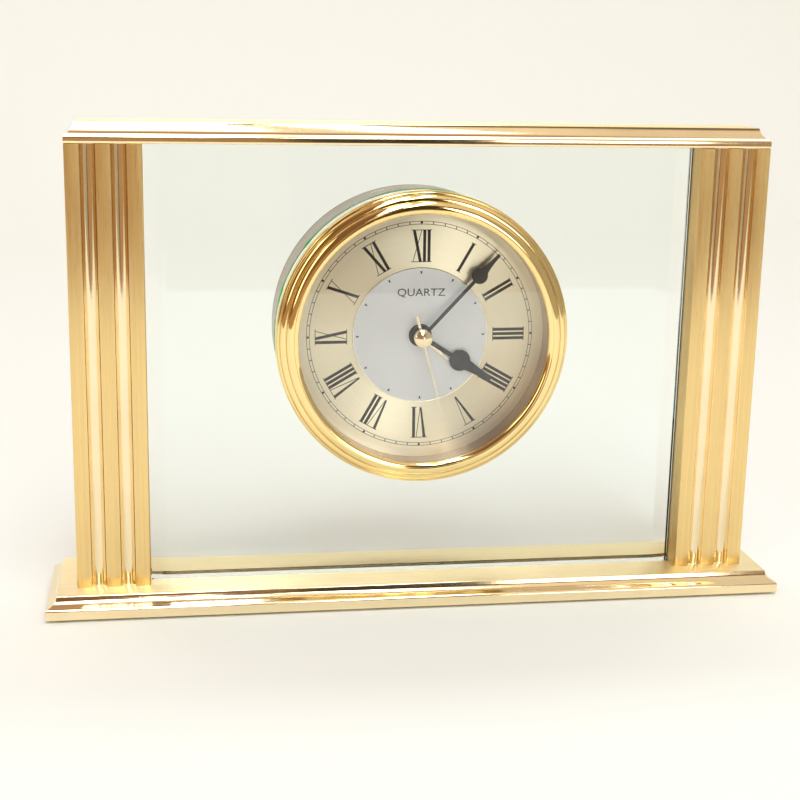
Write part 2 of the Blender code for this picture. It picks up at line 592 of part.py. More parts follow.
outline, hole = rounded_rect(2.0, 11.16, 20.0, 3.95, 1.0, 3), circle(3.3, 24, *ROTOR_AXIS)
a, b, c, d = s.loop(outline, 16.5), s.loop(outline, 17.5), s.loop(hole, 16.5), s.loop(hole, 17.5)
s.wall(a, b)
s.wall(c, d)
s.cap(a, c)
s.cap(b, d)
s.make("stator", "steel")
stack("coil", [(-16.0, -15.2, circle(3.7, 24)), (-15.2, 15.2, circle(3.1, 24)), (15.2, 16.0, circle(3.7, 24))],
      "copper", 17.0, ZC + 19.4, along="x")
stack("circuit_board", [(21.3, 22.1, rounded_rect(2.0, 19.5, 22.0, 5.5, 1.0, 2))], "board", 0, ZC)
stack("buzzer", [(15.6, 21.4, circle(7.4, SEG_MID)), (21.4, 22.6, circle(6.2, SEG_MID))], "black_plastic",
      -18.9, ZC - 2.2)


def movement_cover():
    s = Shell(0, ZC)
    o, i = rounded_rect(0, 0, MOVE_H, MOVE_H, 1.5, 3), rounded_rect(0, 0, MOVE_H - 1.2, MOVE_H - 1.2, 0.6, 3)
    of_, ob = s.loop(o, 3.45), s.loop(o, 24.6)
    if_, ib = s.loop(i, 3.45), s.loop(i, 23.5)
    s.wall(of_, ob)
    s.wall(if_, ib)
    s.cap(of_, if_)
    ho, hi = [], []
    for pts in ([circle(1.6, SEG_SMALL, *MINUTE_AXIS), circle(1.6, SEG_SMALL, *ALARM_AXIS),
                 rounded_rect(0, BATTERY_W, 26.0, 7.4, 0.8, 2)]):
        a, b = s.loop(pts, 24.6), s.loop(pts, 23.5)
        s.wall(a, b)
        ho.append(a)
        hi.append(b)
    s.cap(ob, *ho)
    s.cap(ib, *hi)
    s.make("movement_cover", "black_plastic")


movement_cover()
stack("battery_divider", [(3.6, 23.3, rect(0, -11.2, MOVE_H - 1.5, 0.4))], "black_plastic", 0, ZC)
BY, BZ = 13.6, ZC + BATTERY_W
stack("battery", [(-25.0, -24.7, circle(5.0, 16)), (-24.7, 24.0, circle(7.1, 28)), (24.0, 25.3, circle(2.7, 16))],
      "cell_sleeve", BY, BZ, along="x")
stack("contact_plus", [(25.6, 26.0, rect(0, 0, 4.0, 5.0))], "steel", BY, BZ, along="x")
stack("contact_minus", [(-26.0, -25.6, circle(5.5, 20)), (-25.6, -25.2, circle(3.2, 20))], "steel", BY, BZ, along="x")

# carrier with three posts for the case screws
s = Shell(0, ZC)
rim, hub = circle(43.3, SEG_MID), circle(3.8, SEG_SMALL)
rf, rb, hf, hb = s.loop(rim, 0.2), s.loop(rim, 1.7), s.loop(hub, 0.2), s.loop(hub, 1.7)
s.wall(rf, rb)
s.wall(hf, hb)
s.cap(rf, hf)
feet = []
for x, z in POSTS:
    foot, top = s.loop(circle(2.4, 16, x, z), 1.7), s.loop(circle(2.4, 16, x, z), 24.8)
    mouth, floor = s.loop(circle(1.3, 12, x, z), 24.8), s.loop(circle(1.3, 12, x, z), 16.0)
    s.wall(foot, top)
    s.cap(top, mouth)
    s.wall(mouth, floor)
    s.cap(floor)
    feet.append(foot)
s.cap(rb, hb, *feet)
s.make("dial_carrier", "black_plastic")

for i, (x, z) in enumerate(POSTS, 1):
    stack(f"case_screw_{i}", [(17.0, 27.2, circle(1.15, 12)), (27.2, 28.5, circle(2.3, 16))], "steel", x, ZC + z)

# back fittings
stack("battery_cover", [(25.2, 27.1, rounded_rect(0, BATTERY_W, 27.0, 8.0, 1.4, 3)),
                        (27.1, 27.8, rounded_rect(0, BATTERY_W, 6.0, 2.0, 0.8, 2))], "grey_case", 0, ZC,
      origin=(0.0, 26.0, ZC + BATTERY_W))
for label, axis in (("time_set_knob", MINUTE_AXIS), ("alarm_set_knob", ALARM_AXIS)):
    knurl = []
    for i in range(20):
        a = 2 * math.pi * i / 20
        for r, k in ((KNOB_R - 0.35, 0.0), (KNOB_R, 0.5)):
            b = a + k * 2 * math.pi / 20
            knurl.append((r * math.cos(b), r * math.sin(b)))
    ob = stack(label, [(25.4, 27.5, circle(2.1, SEG_SMALL)), (27.5, 31.0, knurl)], "black_plastic",
               axis[0], ZC + axis[1], bore=circle(0.85, 12), origin=(axis[0], 0.0, ZC + axis[1]), crease=20)
stack("alarm_switch", [(23.9, 24.8, rect(0, 0, 7.6, 2.6)), (24.8, 27.4, rect(0, 0, 2.8, 1.3)),
                       (27.4, 29.4, rounded_rect(0, 0, 3.4, 2.2, 0.6, 2))], "black_plastic", 0, ZC + SWITCH_W,
      origin=(0.0, 26.0, ZC + SWITCH_W))
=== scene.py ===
import json
import math

import bmesh
import bpy
from mathutils import Matrix, Vector
from mathutils.geometry import tessellate_polygon


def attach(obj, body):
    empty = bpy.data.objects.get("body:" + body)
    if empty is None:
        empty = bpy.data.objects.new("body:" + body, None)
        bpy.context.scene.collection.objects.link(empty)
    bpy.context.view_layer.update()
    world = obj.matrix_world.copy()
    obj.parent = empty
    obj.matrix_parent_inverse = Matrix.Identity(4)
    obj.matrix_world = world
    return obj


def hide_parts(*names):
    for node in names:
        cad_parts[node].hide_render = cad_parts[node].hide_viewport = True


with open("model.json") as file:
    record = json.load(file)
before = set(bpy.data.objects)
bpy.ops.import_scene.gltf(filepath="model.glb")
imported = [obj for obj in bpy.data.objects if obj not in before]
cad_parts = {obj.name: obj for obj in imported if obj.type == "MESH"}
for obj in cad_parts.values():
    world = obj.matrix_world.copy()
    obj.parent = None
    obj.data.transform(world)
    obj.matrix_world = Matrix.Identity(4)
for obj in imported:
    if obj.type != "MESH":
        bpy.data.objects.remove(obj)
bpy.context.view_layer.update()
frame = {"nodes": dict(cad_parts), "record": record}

MM = 0.001
PAD_T = 0.8
ZC = PAD_T + 85.5
scene = bpy.context.scene
scene.view_settings.view_transform = "Standard"
scene.view_settings.look = "None"


# ------------------------------------------------------------------ node helpers
def new_mat(name):
    m = bpy.data.materials.new(name)
    m.use_nodes = True
    nt = m.node_tree
    return m, nt, nt.nodes["Principled BSDF"]


def node(nt, kind, **kw):
    n = nt.nodes.new(kind)
    for k, v in kw.items():
        if k.startswith("in_"):
            key = k[3:]
            n.inputs[int(key) if key.isdigit() else key.replace("_", " ")].default_value = v
        else:
            setattr(n, k, v)
    return n


def coords(nt, scale=(1, 1, 1), rotate=(0, 0, 0), kind="Object"):
    tc = node(nt, "ShaderNodeTexCoord")
    mp = node(nt, "ShaderNodeMapping")
    mp.inputs["Scale"].default_value = scale
    mp.inputs["Rotation"].default_value = rotate
    nt.links.new(tc.outputs[kind], mp.inputs["Vector"])
    return mp.outputs["Vector"]


def noise(nt, vec, scale, detail=3.0, rough=0.5):
    n = node(nt, "ShaderNodeTexNoise")
    n.inputs["Scale"].default_value = scale
    n.inputs["Detail"].default_value = detail
    n.inputs["Roughness"].default_value = rough
    nt.links.new(vec, n.inputs["Vector"])
    return n.outputs["Fac"]


def remap(nt, fac, lo, hi, a=0.3, b=0.7):
    n = node(nt, "ShaderNodeMapRange")
    n.inputs["From Min"].default_value = a
    n.inputs["From Max"].default_value = b
    n.inputs["To Min"].default_value = lo
    n.inputs["To Max"].default_value = hi
    nt.links.new(fac, n.inputs["Value"])
    return n.outputs["Result"]


def ramp(nt, fac, stops):
    n = node(nt, "ShaderNodeValToRGB")
    e = n.color_ramp.elements
    e[0].position, e[0].color = stops[0][0], (*stops[0][1], 1)
    e[1].position, e[1].color = stops[-1][0], (*stops[-1][1], 1)
    for p, c in stops[1:-1]:
        x = e.new(p)
        x.color = (*c, 1)
    nt.links.new(fac, n.inputs["Fac"])
    return n.outputs["Color"]


def bump(nt, height, strength, distance, normal=None):
    n = node(nt, "ShaderNodeBump")
    n.inputs["Strength"].default_value = strength
    n.inputs["Distance"].default_value = distance
    nt.links.new(height, n.inputs["Height"])
    if normal is not None:
        nt.links.new(normal, n.inputs["Normal"])
    return n.outputs["Normal"]


def brushed(name, colour, along, rough=0.26, aniso=0.75, streak=0.10, depth=0.00002, spec_dark=0.86):
    """Brushed metal. along: the axis the brush lines run, 'X', 'Z' or 'ring' (circles round Y)."""
    m, nt, b = new_mat(name)
    L = nt.links
    if along == "ring":
        tc = node(nt, "ShaderNodeTexCoord")
        sep = node(nt, "ShaderNodeSeparateXYZ")
        L.new(tc.outputs["Object"], sep.inputs[0])
        sq = []
        for k in ("X", "Z"):
            p = node(nt, "ShaderNodeMath", operation="MULTIPLY")
            L.new(sep.outputs[k], p.inputs[0])
            L.new(sep.outputs[k], p.inputs[1])
            sq.append(p)
        add = node(nt, "ShaderNodeMath", operation="ADD")
        L.new(sq[0].outputs[0], add.inputs[0])
        L.new(sq[1].outputs[0], add.inputs[1])
        rad = node(nt, "ShaderNodeMath", operation="SQRT")
        L.new(add.outputs[0], rad.inputs[0])
        ang = node(nt, "ShaderNodeMath", operation="ARCTAN2")
        L.new(sep.outputs["Z"], ang.inputs[0])
        L.new(sep.outputs["X"], ang.inputs[1])
        slow = node(nt, "ShaderNodeMath", operation="MULTIPLY")
        slow.inputs[1].default_value = 0.00045
        L.new(ang.outputs[0], slow.inputs[0])
        comb = node(nt, "ShaderNodeCombineXYZ")
        L.new(rad.outputs[0], comb.inputs[0])
        L.new(slow.outputs[0], comb.inputs[1])
        vec = comb.outputs[0]
        fine = noise(nt, vec, 9000.0, 2.0, 0.7)
        wide = noise(nt, vec, 1500.0, 2.0, 0.5)
        tan = node(nt, "ShaderNodeTangent", direction_type="RADIAL", axis="Y")
        b.inputs["Anisotropic Rotation"].default_value = 0.25
    else:
        s = {"X": (0.012, 1, 1), "Z": (1, 1, 0.012), "Y": (1, 0.012, 1)}[along]
        vec = coords(nt, s)
        fine = noise(nt, vec, 7000.0, 2.0, 0.7)
        wide = noise(nt, coords(nt, tuple(x * 0.2 if x < 1 else 1 for x in s)), 900.0, 2.0, 0.5)
        tan = node(nt, "ShaderNodeTangent", direction_type="RADIAL", axis={"X": "X", "Z": "Z", "Y": "Y"}[along])
    L.new(tan.outputs[0], b.inputs["Tangent"])
    b.inputs["Anisotropic"].default_value = aniso
    dark = tuple(c * spec_dark for c in colour)
    mixn = node(nt, "ShaderNodeMath", operation="MULTIPLY_ADD")
    mixn.inputs[1].default_value = 0.6
    mixn.inputs[2].default_value = 0.0
    L.new(fine, mixn.inputs[0])
    add = node(nt, "ShaderNodeMath", operation="MULTIPLY_ADD")
    add.inputs[1].default_value = 0.4
    L.new(wide, add.inputs[0])
    L.new(mixn.outputs[0], add.inputs[2])
    L.new(ramp(nt, add.outputs[0], [(0.30, dark), (0.62, colour)]), b.inputs["Base Color"])
    L.new(remap(nt, fine, rough - streak / 2, rough + streak / 2), b.inputs["Roughness"])
    b.inputs["Metallic"].default_value = 1.0
    L.new(bump(nt, fine, 0.35, depth), b.inputs["Normal"])
    return m


def polished(name, colour, rough=0.06, swirl=0.03, wave=0.000015, scale=900.0):
    """Polished plate: faint haze, tiny unevenness and a few handling marks."""
    m, nt, b = new_mat(name)
    L = nt.links
    vec = coords(nt)
    haze = noise(nt, vec, 60.0, 4.0, 0.6)
    fine = noise(nt, vec, scale, 3.0, 0.6)
    dark = tuple(c * 0.94 for c in colour)
    L.new(ramp(nt, haze, [(0.35, dark), (0.65, colour)]), b.inputs["Base Color"])
    L.new(remap(nt, haze, rough, rough + swirl), b.inputs["Roughness"])
    b.inputs["Metallic"].default_value = 1.0
    L.new(bump(nt, fine, 0.15, wave), b.inputs["Normal"])
    return m


def plastic(name, colour, rough=0.5, grain=0.00004, scale=2600.0, spec=0.5, metal=0.0, coat=0.0):
    m, nt, b = new_mat(name)
    L = nt.links
    vec = coords(nt)
    cell = noise(nt, vec, scale, 3.0, 0.6)
    slow = noise(nt, vec, 45.0, 3.0, 0.5)
    L.new(ramp(nt, slow, [(0.3, tuple(c * 0.88 for c in colour)), (0.7, colour)]), b.inputs["Base Color"])
    L.new(remap(nt, cell, rough - 0.06, rough + 0.06), b.inputs["Roughness"])
    b.inputs["Specular IOR Level"].default_value = spec
    b.inputs["Metallic"].default_value = metal
    b.inputs["Coat Weight"].default_value = coat
    L.new(bump(nt, cell, 0.3, grain), b.inputs["Normal"])
    return m


def glass(name, tint, rough=0.0, ior=1.52, density=0.0, volume=(0.8, 0.95, 0.88)):
    m, nt, b = new_mat(name)
    L = nt.links
    vec = coords(nt)
    smear = noise(nt, vec, 30.0, 3.0, 0.5)
    L.new(ramp(nt, smear, [(0.3, tuple(c * 0.995 for c in tint)), (0.7, tint)]), b.inputs["Base Color"])
    b.inputs["Transmission Weight"].default_value = 1.0
    b.inputs["IOR"].default_value = ior
    if rough > 0:
        L.new(remap(nt, noise(nt, vec, 4000.0, 3.0, 0.7), rough * 0.8, rough * 1.2), b.inputs["Roughness"])
    else:
        b.inputs["Roughness"].default_value = 0.0
    if density > 0:
        v = node(nt, "ShaderNodeVolumeAbsorption")
        v.inputs["Color"].default_value = (*volume, 1)
        v.inputs["Density"].default_value = density
        L.new(v.outputs[0], nt.nodes["Material Output"].inputs["Volume"])
    return m


GOLD = (0.93, 0.68, 0.31)
GOLD_DEEP = (1.0, 0.79, 0.38)
M = {}
# the stand's brushed gold is paler here than on the pillars: a painted highlight of the bright top faces over the
# metal's own gold
M["brush_x_painted_highlight"] = brushed("brushed_gold_x_painted_highlight", (0.95, 0.80, 0.49), "X", 0.40, 0.9)
M["brush_y"] = brushed("brushed_gold_y", GOLD, "Y", 0.42, 0.9)
M["brush_z"] = brushed("brushed_gold_z", (0.94, 0.69, 0.31), "Z", 0.32, 0.92)
M["shine"] = polished("polished_gold", (0.98, 0.82, 0.54), 0.055, 0.035)
M["bezel"] = polished("bezel_gold", GOLD_DEEP, 0.035, 0.03)
M["dial"] = brushed("dial_gold", (0.99, 0.92, 0.69), "ring", 0.40, 0.88, 0.08, 0.000012, 0.92)
M["ring_edge"] = polished("disc_edge_gold", (0.98, 0.90, 0.68), 0.15)
M["silver"] = plastic("dial_silver", (0.93, 0.96, 0.97), 0.40, 0.00001, 5200.0, 0.5, 0.35)
M["print"] = plastic("dial_print", (0.016, 0.012, 0.009), 0.40, 0.00001, 3000.0)
M["hand"] = plastic("hand_black", (0.034, 0.034, 0.034), 0.32, 0.00001, 3000.0)
M["hand_gold"] = polished("hand_gold", (0.98, 0.82, 0.55), 0.16, 0.05)
M["cap"] = polished("cap_gold", (0.98, 0.82, 0.52), 0.06, 0.03)
M["glass"] = glass("float_glass", (1.0, 1.0, 1.0), 0.0, 1.52, 6.5, (0.24, 0.97, 0.78))
# the reflector wall's gold is darkened to brown: painted shade and dark reflection of the recess behind the bezel lip
M["wall"] = polished("wall_gold_painted_shade", (0.46, 0.33, 0.24), 0.07, 0.05)
M["ground"] = glass("ground_glass", (0.80, 0.88, 0.82), 0.42, 1.52)
M["acrylic"] = glass("acrylic", (0.995, 0.995, 0.995), 0.0, 1.45)
M["case"] = polished("case_lacquer", (0.47, 0.40, 0.34), 0.30, 0.06, 0.00001, 3000.0)
M["rubber"] = plastic("soft_rubber", (0.62, 0.64, 0.61), 0.6, 0.00003)
M["black"] = plastic("black_plastic", (0.020, 0.020, 0.022), 0.45)
M["nylon"] = plastic("white_nylon", (0.72, 0.72, 0.68), 0.5)
M["steel"] = brushed("steel", (0.62, 0.61, 0.58), "X", 0.28, 0.3)
M["gear"] = brushed("gear_brass", (0.80, 0.60, 0.28), "ring", 0.30, 0.4)
M["copper"] = brushed("copper_wire", (0.72, 0.32, 0.14), "Y", 0.3, 0.5, 0.2, 0.00006)
M["board"] = plastic("circuit_board", (0.01, 0.11, 0.035), 0.35)
M["magnet"] = plastic("magnet", (0.08, 0.08, 0.085), 0.45, metal=0.8)
M["cell"] = plastic("cell_sleeve", (0.02, 0.05, 0.16), 0.25, 0.000005, coat=0.4)


def felt_mat():
    m, nt, b = new_mat("felt")
    L = nt.links
    vec = coords(nt)
    fibre = noise(nt, coords(nt, (1, 1, 0.4)), 2600.0, 6.0, 0.8)
    patch = noise(nt, vec, 160.0, 4.0, 0.6)
    L.new(ramp(nt, fibre, [(0.3, (0.006, 0.010, 0.007)), (0.7, (0.030, 0.045, 0.032))]), b.inputs["Base Color"])
    L.new(remap(nt, patch, 0.9, 1.0), b.inputs["Roughness"])
    b.inputs["Sheen Weight"].default_value = 0.4
    L.new(bump(nt, fibre, 0.9, 0.0002), b.inputs["Normal"])
    return m


M["felt"] = felt_mat()


# ------------------------------------------------------------------ mesh helpers (millimetres)
class Body:
    def __init__(self):
        self.v, self.f, self.m = [], [], []

    def ring(self, pts):
        s = len(self.v)
        self.v += [tuple(p) for p in pts]
        return list(range(s, s + len(pts)))

    def wall(self, a, b, mat=0):
        n = len(a)
        for i in range(n):
            q = []
            for k in (a[i], a[(i + 1) % n], b[(i + 1) % n], b[i]):
                if k not in q:
                    q.append(k)
            if len(q) > 2:
                self.f.append(tuple(q))
                self.m.append(mat)

    def cap(self, outer, holes=(), mat=0, plane="y"):
        if not holes:
            self.f.append(tuple(outer))
            self.m.append(mat)
            return
        loops = [list(outer)] + [list(h) for h in holes]
        flat = [i for lp in loops for i in lp]
        ax = {"y": (0, 2), "z": (0, 1), "x": (1, 2)}[plane]
        rows = [[Vector((self.v[i][ax[0]], self.v[i][ax[1]], 0)) for i in lp] for lp in loops]
        for t in tessellate_polygon(rows):
            self.f.append(tuple(flat[k] for k in t))
            self.m.append(mat)

    def make(self, name, mats, origin=(0, 0, 0), smooth=30.0, body="body", slot=None, replace=(), bevel=0.0, segs=2,
             bevel_angle=35.0):
        me = bpy.data.meshes.new(name)
        bm = bmesh.new()
        vs = [bm.verts.new([(c - o) * MM for c, o in zip(v, origin)]) for v in self.v]
        for f, mi in zip(self.f, self.m):
            if len(set(f)) > 2:
                try:
                    face = bm.faces.new([vs[i] for i in f])
                    face.material_index = mi
                except ValueError:
                    pass
        bmesh.ops.delete(bm, geom=[v for v in bm.verts if not v.link_faces], context="VERTS")
        bmesh.ops.recalc_face_normals(bm, faces=bm.faces)
        bm.to_mesh(me)
        bm.free()
        for p in me.polygons:
            p.use_smooth = True
        if smooth < 180:
            me.set_sharp_from_angle(angle=math.radians(smooth))
        for m in mats:
            me.materials.append(M[m])
        ob = bpy.data.objects.new(name, me)
        ob.location = [c * MM for c in origin]
        scene.collection.objects.link(ob)
        if bevel > 0:
            md = ob.modifiers.new("edge", "BEVEL")
            md.width = bevel * MM
            md.segments = segs
            md.limit_method = "ANGLE"
            md.angle_limit = math.radians(bevel_angle)
            md.harden_normals = True
        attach(ob, body)
        if replace:
            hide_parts(*replace)
        return ob


def circ(r, n, cx=0.0, cz=ZC, phase=0.0):
    return [(cx + r * math.cos(phase + 2 * math.pi * i / n), cz + r * math.sin(phase + 2 * math.pi * i / n))
            for i in range(n)]


def at_y(pts, y):
    return [(x, y, z) for x, z in pts]


def rrect(cx, cz, hx, hz, r, n=6):
    pts = []
    for sx, sz, a0 in ((1, -1, -90), (1, 1, 0), (-1, 1, 90), (-1, -1, 180)):
        for i in range(n + 1):
            a = math.radians(a0 + 90 * i / n)
            pts.append((cx + sx * (hx - r) + r * math.cos(a), cz + sz * (hz - r) + r * math.sin(a)))
    return pts


def revolve(name, profile, n, mats, closed=True, faces=None, centre=(0.0, ZC), **kw):
    """profile: (r, y) in millimetres round the hands' axis. faces: material index of each profile step."""
    b, rows = Body(), []
    for r, y in profile:
        if r < 1e-6:
            s = len(b.v)
            b.v.append((centre[0], y, centre[1]))
            rows.append([s] * n)
        else:
            rows.append(b.ring(at_y(circ(r, n, *centre), y)))
    pairs = list(zip(rows, rows[1:]))
    if closed:
        pairs.append((rows[-1], rows[0]))
    for i, (p, q) in enumerate(pairs):
        b.wall(p, q, faces[i] if faces else 0)
    return b.make(name, mats, **kw)


def turned(pts, deg, cx=0.0, cz=ZC):
    a = -math.radians(deg)
    c, s = math.cos(a), math.sin(a)
    return [(cx + x * c - z * s, cz + x * s + z * c) for x, z in pts]


def swept_arc(r0, y0, r1, y1, bulge, n, power=1.0):
    """A round bulge between two points of a profile, towards the front and outside."""
    out, dx, dy = [], r1 - r0, y1 - y0
    ln = math.hypot(dx, dy)
    nx, ny = -dy / ln, dx / ln
    if nx - ny < 0:
        nx, ny = -nx, -ny
    # circle through both ends with that sagitta
    R = (ln * ln / 4 + bulge * bulge) / (2 * bulge)
    half = math.asin(min(1.0, ln / 2 / R)) if bulge <= ln / 2 else math.pi - math.asin(min(1.0, ln / 2 / R))
    for i in range(1, n):
        a = -half + 2 * half * i / n
        t = R * math.sin(a)
        k = R * math.cos(a) - (R - bulge)
        out.append((r0 + dx * (0.5 + t / ln) + nx * k, y0 + dy * (0.5 + t / ln) + ny * k))
    return out


# ------------------------------------------------------------------ stand
def moulding(name, hx, hy, z0, height, band, foot, replace, groove_top=None, groove_bottom=None, low_r=0.5):
    """Mitred moulding: rounded lower band, shallow hollow sweep, small battered upright, brushed top.
    foot: (inset, height) where the hollow meets the upright."""
    b = Body()
    prof = []          # (inset, z) of the polished part
    for i in range(6):
        a = math.pi / 2 * i / 5
        prof.append((low_r * 0.55 * (1 - math.sin(a)), z0 + low_r * (1 - math.cos(a))))
    r_top, end = 0.9, math.radians(62)
    for i in range(8):
        a = end * i / 7
        prof.append((r_top * (1 - math.cos(a)), z0 + band - 0.25 + r_top * math.sin(a)))
    x_a, z_a = prof[-1]
    x_b, z_b = foot[0], z0 + foot[1]
    # hollow: leaves at the slope of the rounding, arrives steeply at the upright
    s0, s1 = math.radians(26), math.radians(68)
    ln = math.hypot(x_b - x_a, z_b - z_a)
    p1 = (x_a + 0.45 * ln * math.cos(s0), z_a + 0.45 * ln * math.sin(s0))
    p2 = (x_b - 0.30 * ln * math.cos(s1), z_b - 0.30 * ln * math.sin(s1))
    for i in range(1, 15):
        t = i / 14
        k = 1 - t
        prof.append(tuple(k ** 3 * q0 + 3 * k * k * t * q1 + 3 * k * t * t * q2 + t ** 3 * q3
                          for q0, q1, q2, q3 in zip((x_a, z_a), p1, p2, (x_b, z_b))))
    zt = z0 + height
    prof.append((x_b + 0.24, zt - 0.30))
    for i in range(1, 6):
        a = math.pi / 2 * i / 5
        prof.append((x_b + 0.24 + 0.26 * (1 - math.cos(a)), zt - 0.30 + 0.30 * math.sin(a)))
    prof = [(x, z, 1) for x, z in prof]
    rings = []
    for ins, z, mi in prof:
        rings.append(b.ring([(-hx + ins, -hy + ins, z), (hx - ins, -hy + ins, z), (hx - ins, hy - ins, z),
                             (-hx + ins, hy - ins, z)]))
    for i, (p, q) in enumerate(zip(rings, rings[1:])):
        b.wall(p, q, 1)
    gx, gy, gc = 87.45, 5.4, -0.1

    def groove(ring, z, depth):
        g = b.ring([(-gx, gc - gy, z), (gx, gc - gy, z), (gx, gc + gy, z), (-gx, gc + gy, z)])
        h = b.ring([(-gx, gc - gy, z + depth), (gx, gc - gy, z + depth), (gx, gc + gy, z + depth),
                    (-gx, gc + gy, z + depth)])
        b.wall(ring, g, 0)
        b.wall(g, h, 1)
        b.cap(h, mat=1)

    if groove_top:
        groove(rings[-1], zt, -groove_top)
    else:
        b.cap(rings[-1], mat=0)
    if groove_bottom:
        groove(rings[0], z0, groove_bottom)
    else:
        b.cap(rings[0], mat=1)
    ob = b.make(name, ["brush_x_painted_highlight", "shine"], (0, 0, z0 - 20), smooth=28, slot="brushed_gold", replace=(replace,))
    return ob


BASE_TOP = PAD_T + 6.84
PILLAR_TOP = PAD_T + 146.67
moulding("stand_base", 120.0, 21.5, PAD_T + 0.05, 6.79, 2.95, (3.05, 5.35), "base_plate", groove_top=1.2, low_r=0.45)
moulding("stand_rail", 110.6, 10.85, PILLAR_TOP + 0.05, 6.33, 2.05, (2.90, 5.20), "top_rail", groove_bottom=1.2,
         low_r=0.8)


def pillar(name, side, replace):
    x0, x1 = (87.52, 110.55) if side > 0 else (-110.55, -87.52)
    hy, fw, fd = 10.93, 4.6, 2.25
    w = x1 - x0
    flat = (w - 2 * fw) / 3
    pts, mats = [], []

    def add(x, y, m):
        pts.append((x, y))
        mats.append(m)

    def corner(cx, cy, a0, m, r=0.3):
        for i in range(4):
            a = math.radians(a0 + 90 * i / 3)
            add(cx + r * math.cos(a), cy + r * math.sin(a), m)

    r = 0.3
    corner(x1 - r, hy - r, 0, 0)
    corner(x0 + r, hy - r, 90, 0)
    corner(x0 + r, -hy + r, 180, 0)
    c = x0 + flat
    for k in range(2):
        e = 0.14
        add(c - e, -hy, 1)
        add(c - e * 0.3, -hy + 0.04, 1)
        for i in range(1, 24):
            a = math.pi * i / 24
            add(c + fw / 2 - fw / 2 * math.cos(a), -hy + 0.02 + fd * math.sin(a), 1)
        add(c + fw + e * 0.3, -hy + 0.04, 1)
        add(c + fw + e, -hy, 0)
        c += fw + flat
    corner(x1 - r, -hy + r, 270, 0)
    b = Body()
    z0, z1 = BASE_TOP + 0.03, PILLAR_TOP
    lo, hi = b.ring([(x, y, z0) for x, y in pts]), b.ring([(x, y, z1) for x, y in pts])
    n = len(pts)
    for i in range(n):
        b.f.append((lo[i], lo[(i + 1) % n], hi[(i + 1) % n], hi[i]))
        b.m.append(mats[i])
    b.cap(lo)
    b.cap(hi)
    return b.make(name, ["brush_z", "shine"], ((x0 + x1) / 2, 0, (z0 + z1) / 2), smooth=32, slot="brushed_gold",
                  replace=(replace,))


pillar("stand_pillar_left", -1, "left_pillar")
pillar("stand_pillar_right", 1, "right_pillar")

b = Body()
f0 = b.ring([(x, y, 0.0) for x, y in rrect(0, 0, 117.0, 18.5, 1.0, 4)])
f1 = b.ring([(x, y, 0.8) for x, y in rrect(0, 0, 117.0, 18.5, 1.0, 4)])
b.wall(f0, f1)
b.cap(f0)
b.cap(f1)
b.make("felt_underlay", ["felt"], slot="felt", replace=("felt_pad",))


# ------------------------------------------------------------------ glass panel
def glass_panel():
    b = Body()
    z0, z1 = BASE_TOP - 0.6, PILLAR_TOP + 0.65
    hx, bx, yf, yb, ym = 87.2, 81.0, -5.2, 5.0, -2.85
    n = 256
    c = 0.35

    def rect(h, y, za, zb):
        return b.ring([(-h, y, za), (h, y, za), (h, y, zb), (-h, y, zb)])

    import random
    rnd = random.Random(7)
    wide = [0.05 + (0.10 if rnd.random() < 0.16 else 0.0) * rnd.random() + 0.03 * rnd.random() for _ in range(n)]
    wide = [(wide[i] * 2 + wide[(i + 1) % n]) / 3 for i in range(n)]

    def chipped(y, base, k):
        return b.ring([(((base + wide[i] * k) * math.cos(2 * math.pi * i / n)), y,
                        ZC + (base + wide[i] * k) * math.sin(2 * math.pi * i / n)) for i in range(n)])

    hf1, hf2 = chipped(yf, 46.9, 1.0), b.ring(at_y(circ(46.9, n), yf + 0.08))
    hb2, hb1 = b.ring(at_y(circ(46.9, n), yb - 0.10)), chipped(yb, 46.9, 2.2)
    f = rect(bx, yf, z0, z1)
    m = rect(hx, ym, z0, z1)
    m2 = rect(hx, yb - c, z0, z1)
    k = rect(hx - c, yb, z0, z1)
    b.cap(f, [hf1], 0)
    b.cap(k, [hb1], 0)
    b.wall(hf1, hf2, 1)
    b.wall(hf2, hb2, 0)
    b.wall(hb2, hb1, 1)
    for lo, hi in ((0, 3), (1, 2)):
        b.f.append((f[lo], m[lo], m[hi], f[hi])); b.m.append(0)
        b.f.append((m[lo], m2[lo], m2[hi], m[hi])); b.m.append(0)
        b.f.append((m2[lo], k[lo], k[hi], m2[hi])); b.m.append(0)
    b.f.append((f[0], f[1], m[1], m2[1], k[1], k[0], m2[0], m[0])); b.m.append(0)
    b.f.append((f[3], f[2], m[2], m2[2], k[2], k[3], m2[3], m[3])); b.m.append(0)
    return b.make("glass_sheet", ["glass", "ground"], smooth=5, slot="clear_glass", replace=("glass_panel",))


glass_panel()

# ------------------------------------------------------------------ clock head
def ovolo(r_out, y_back, r_in, y_front, n=14):
    """Quarter round that rises from its outer edge and ends level with the front at its inner edge."""
    return [(r_in + (r_out - r_in) * math.cos(math.radians(90 * i / n)),
             y_back - (y_back - y_front) * math.sin(math.radians(90 * i / n))) for i in range(n + 1)]


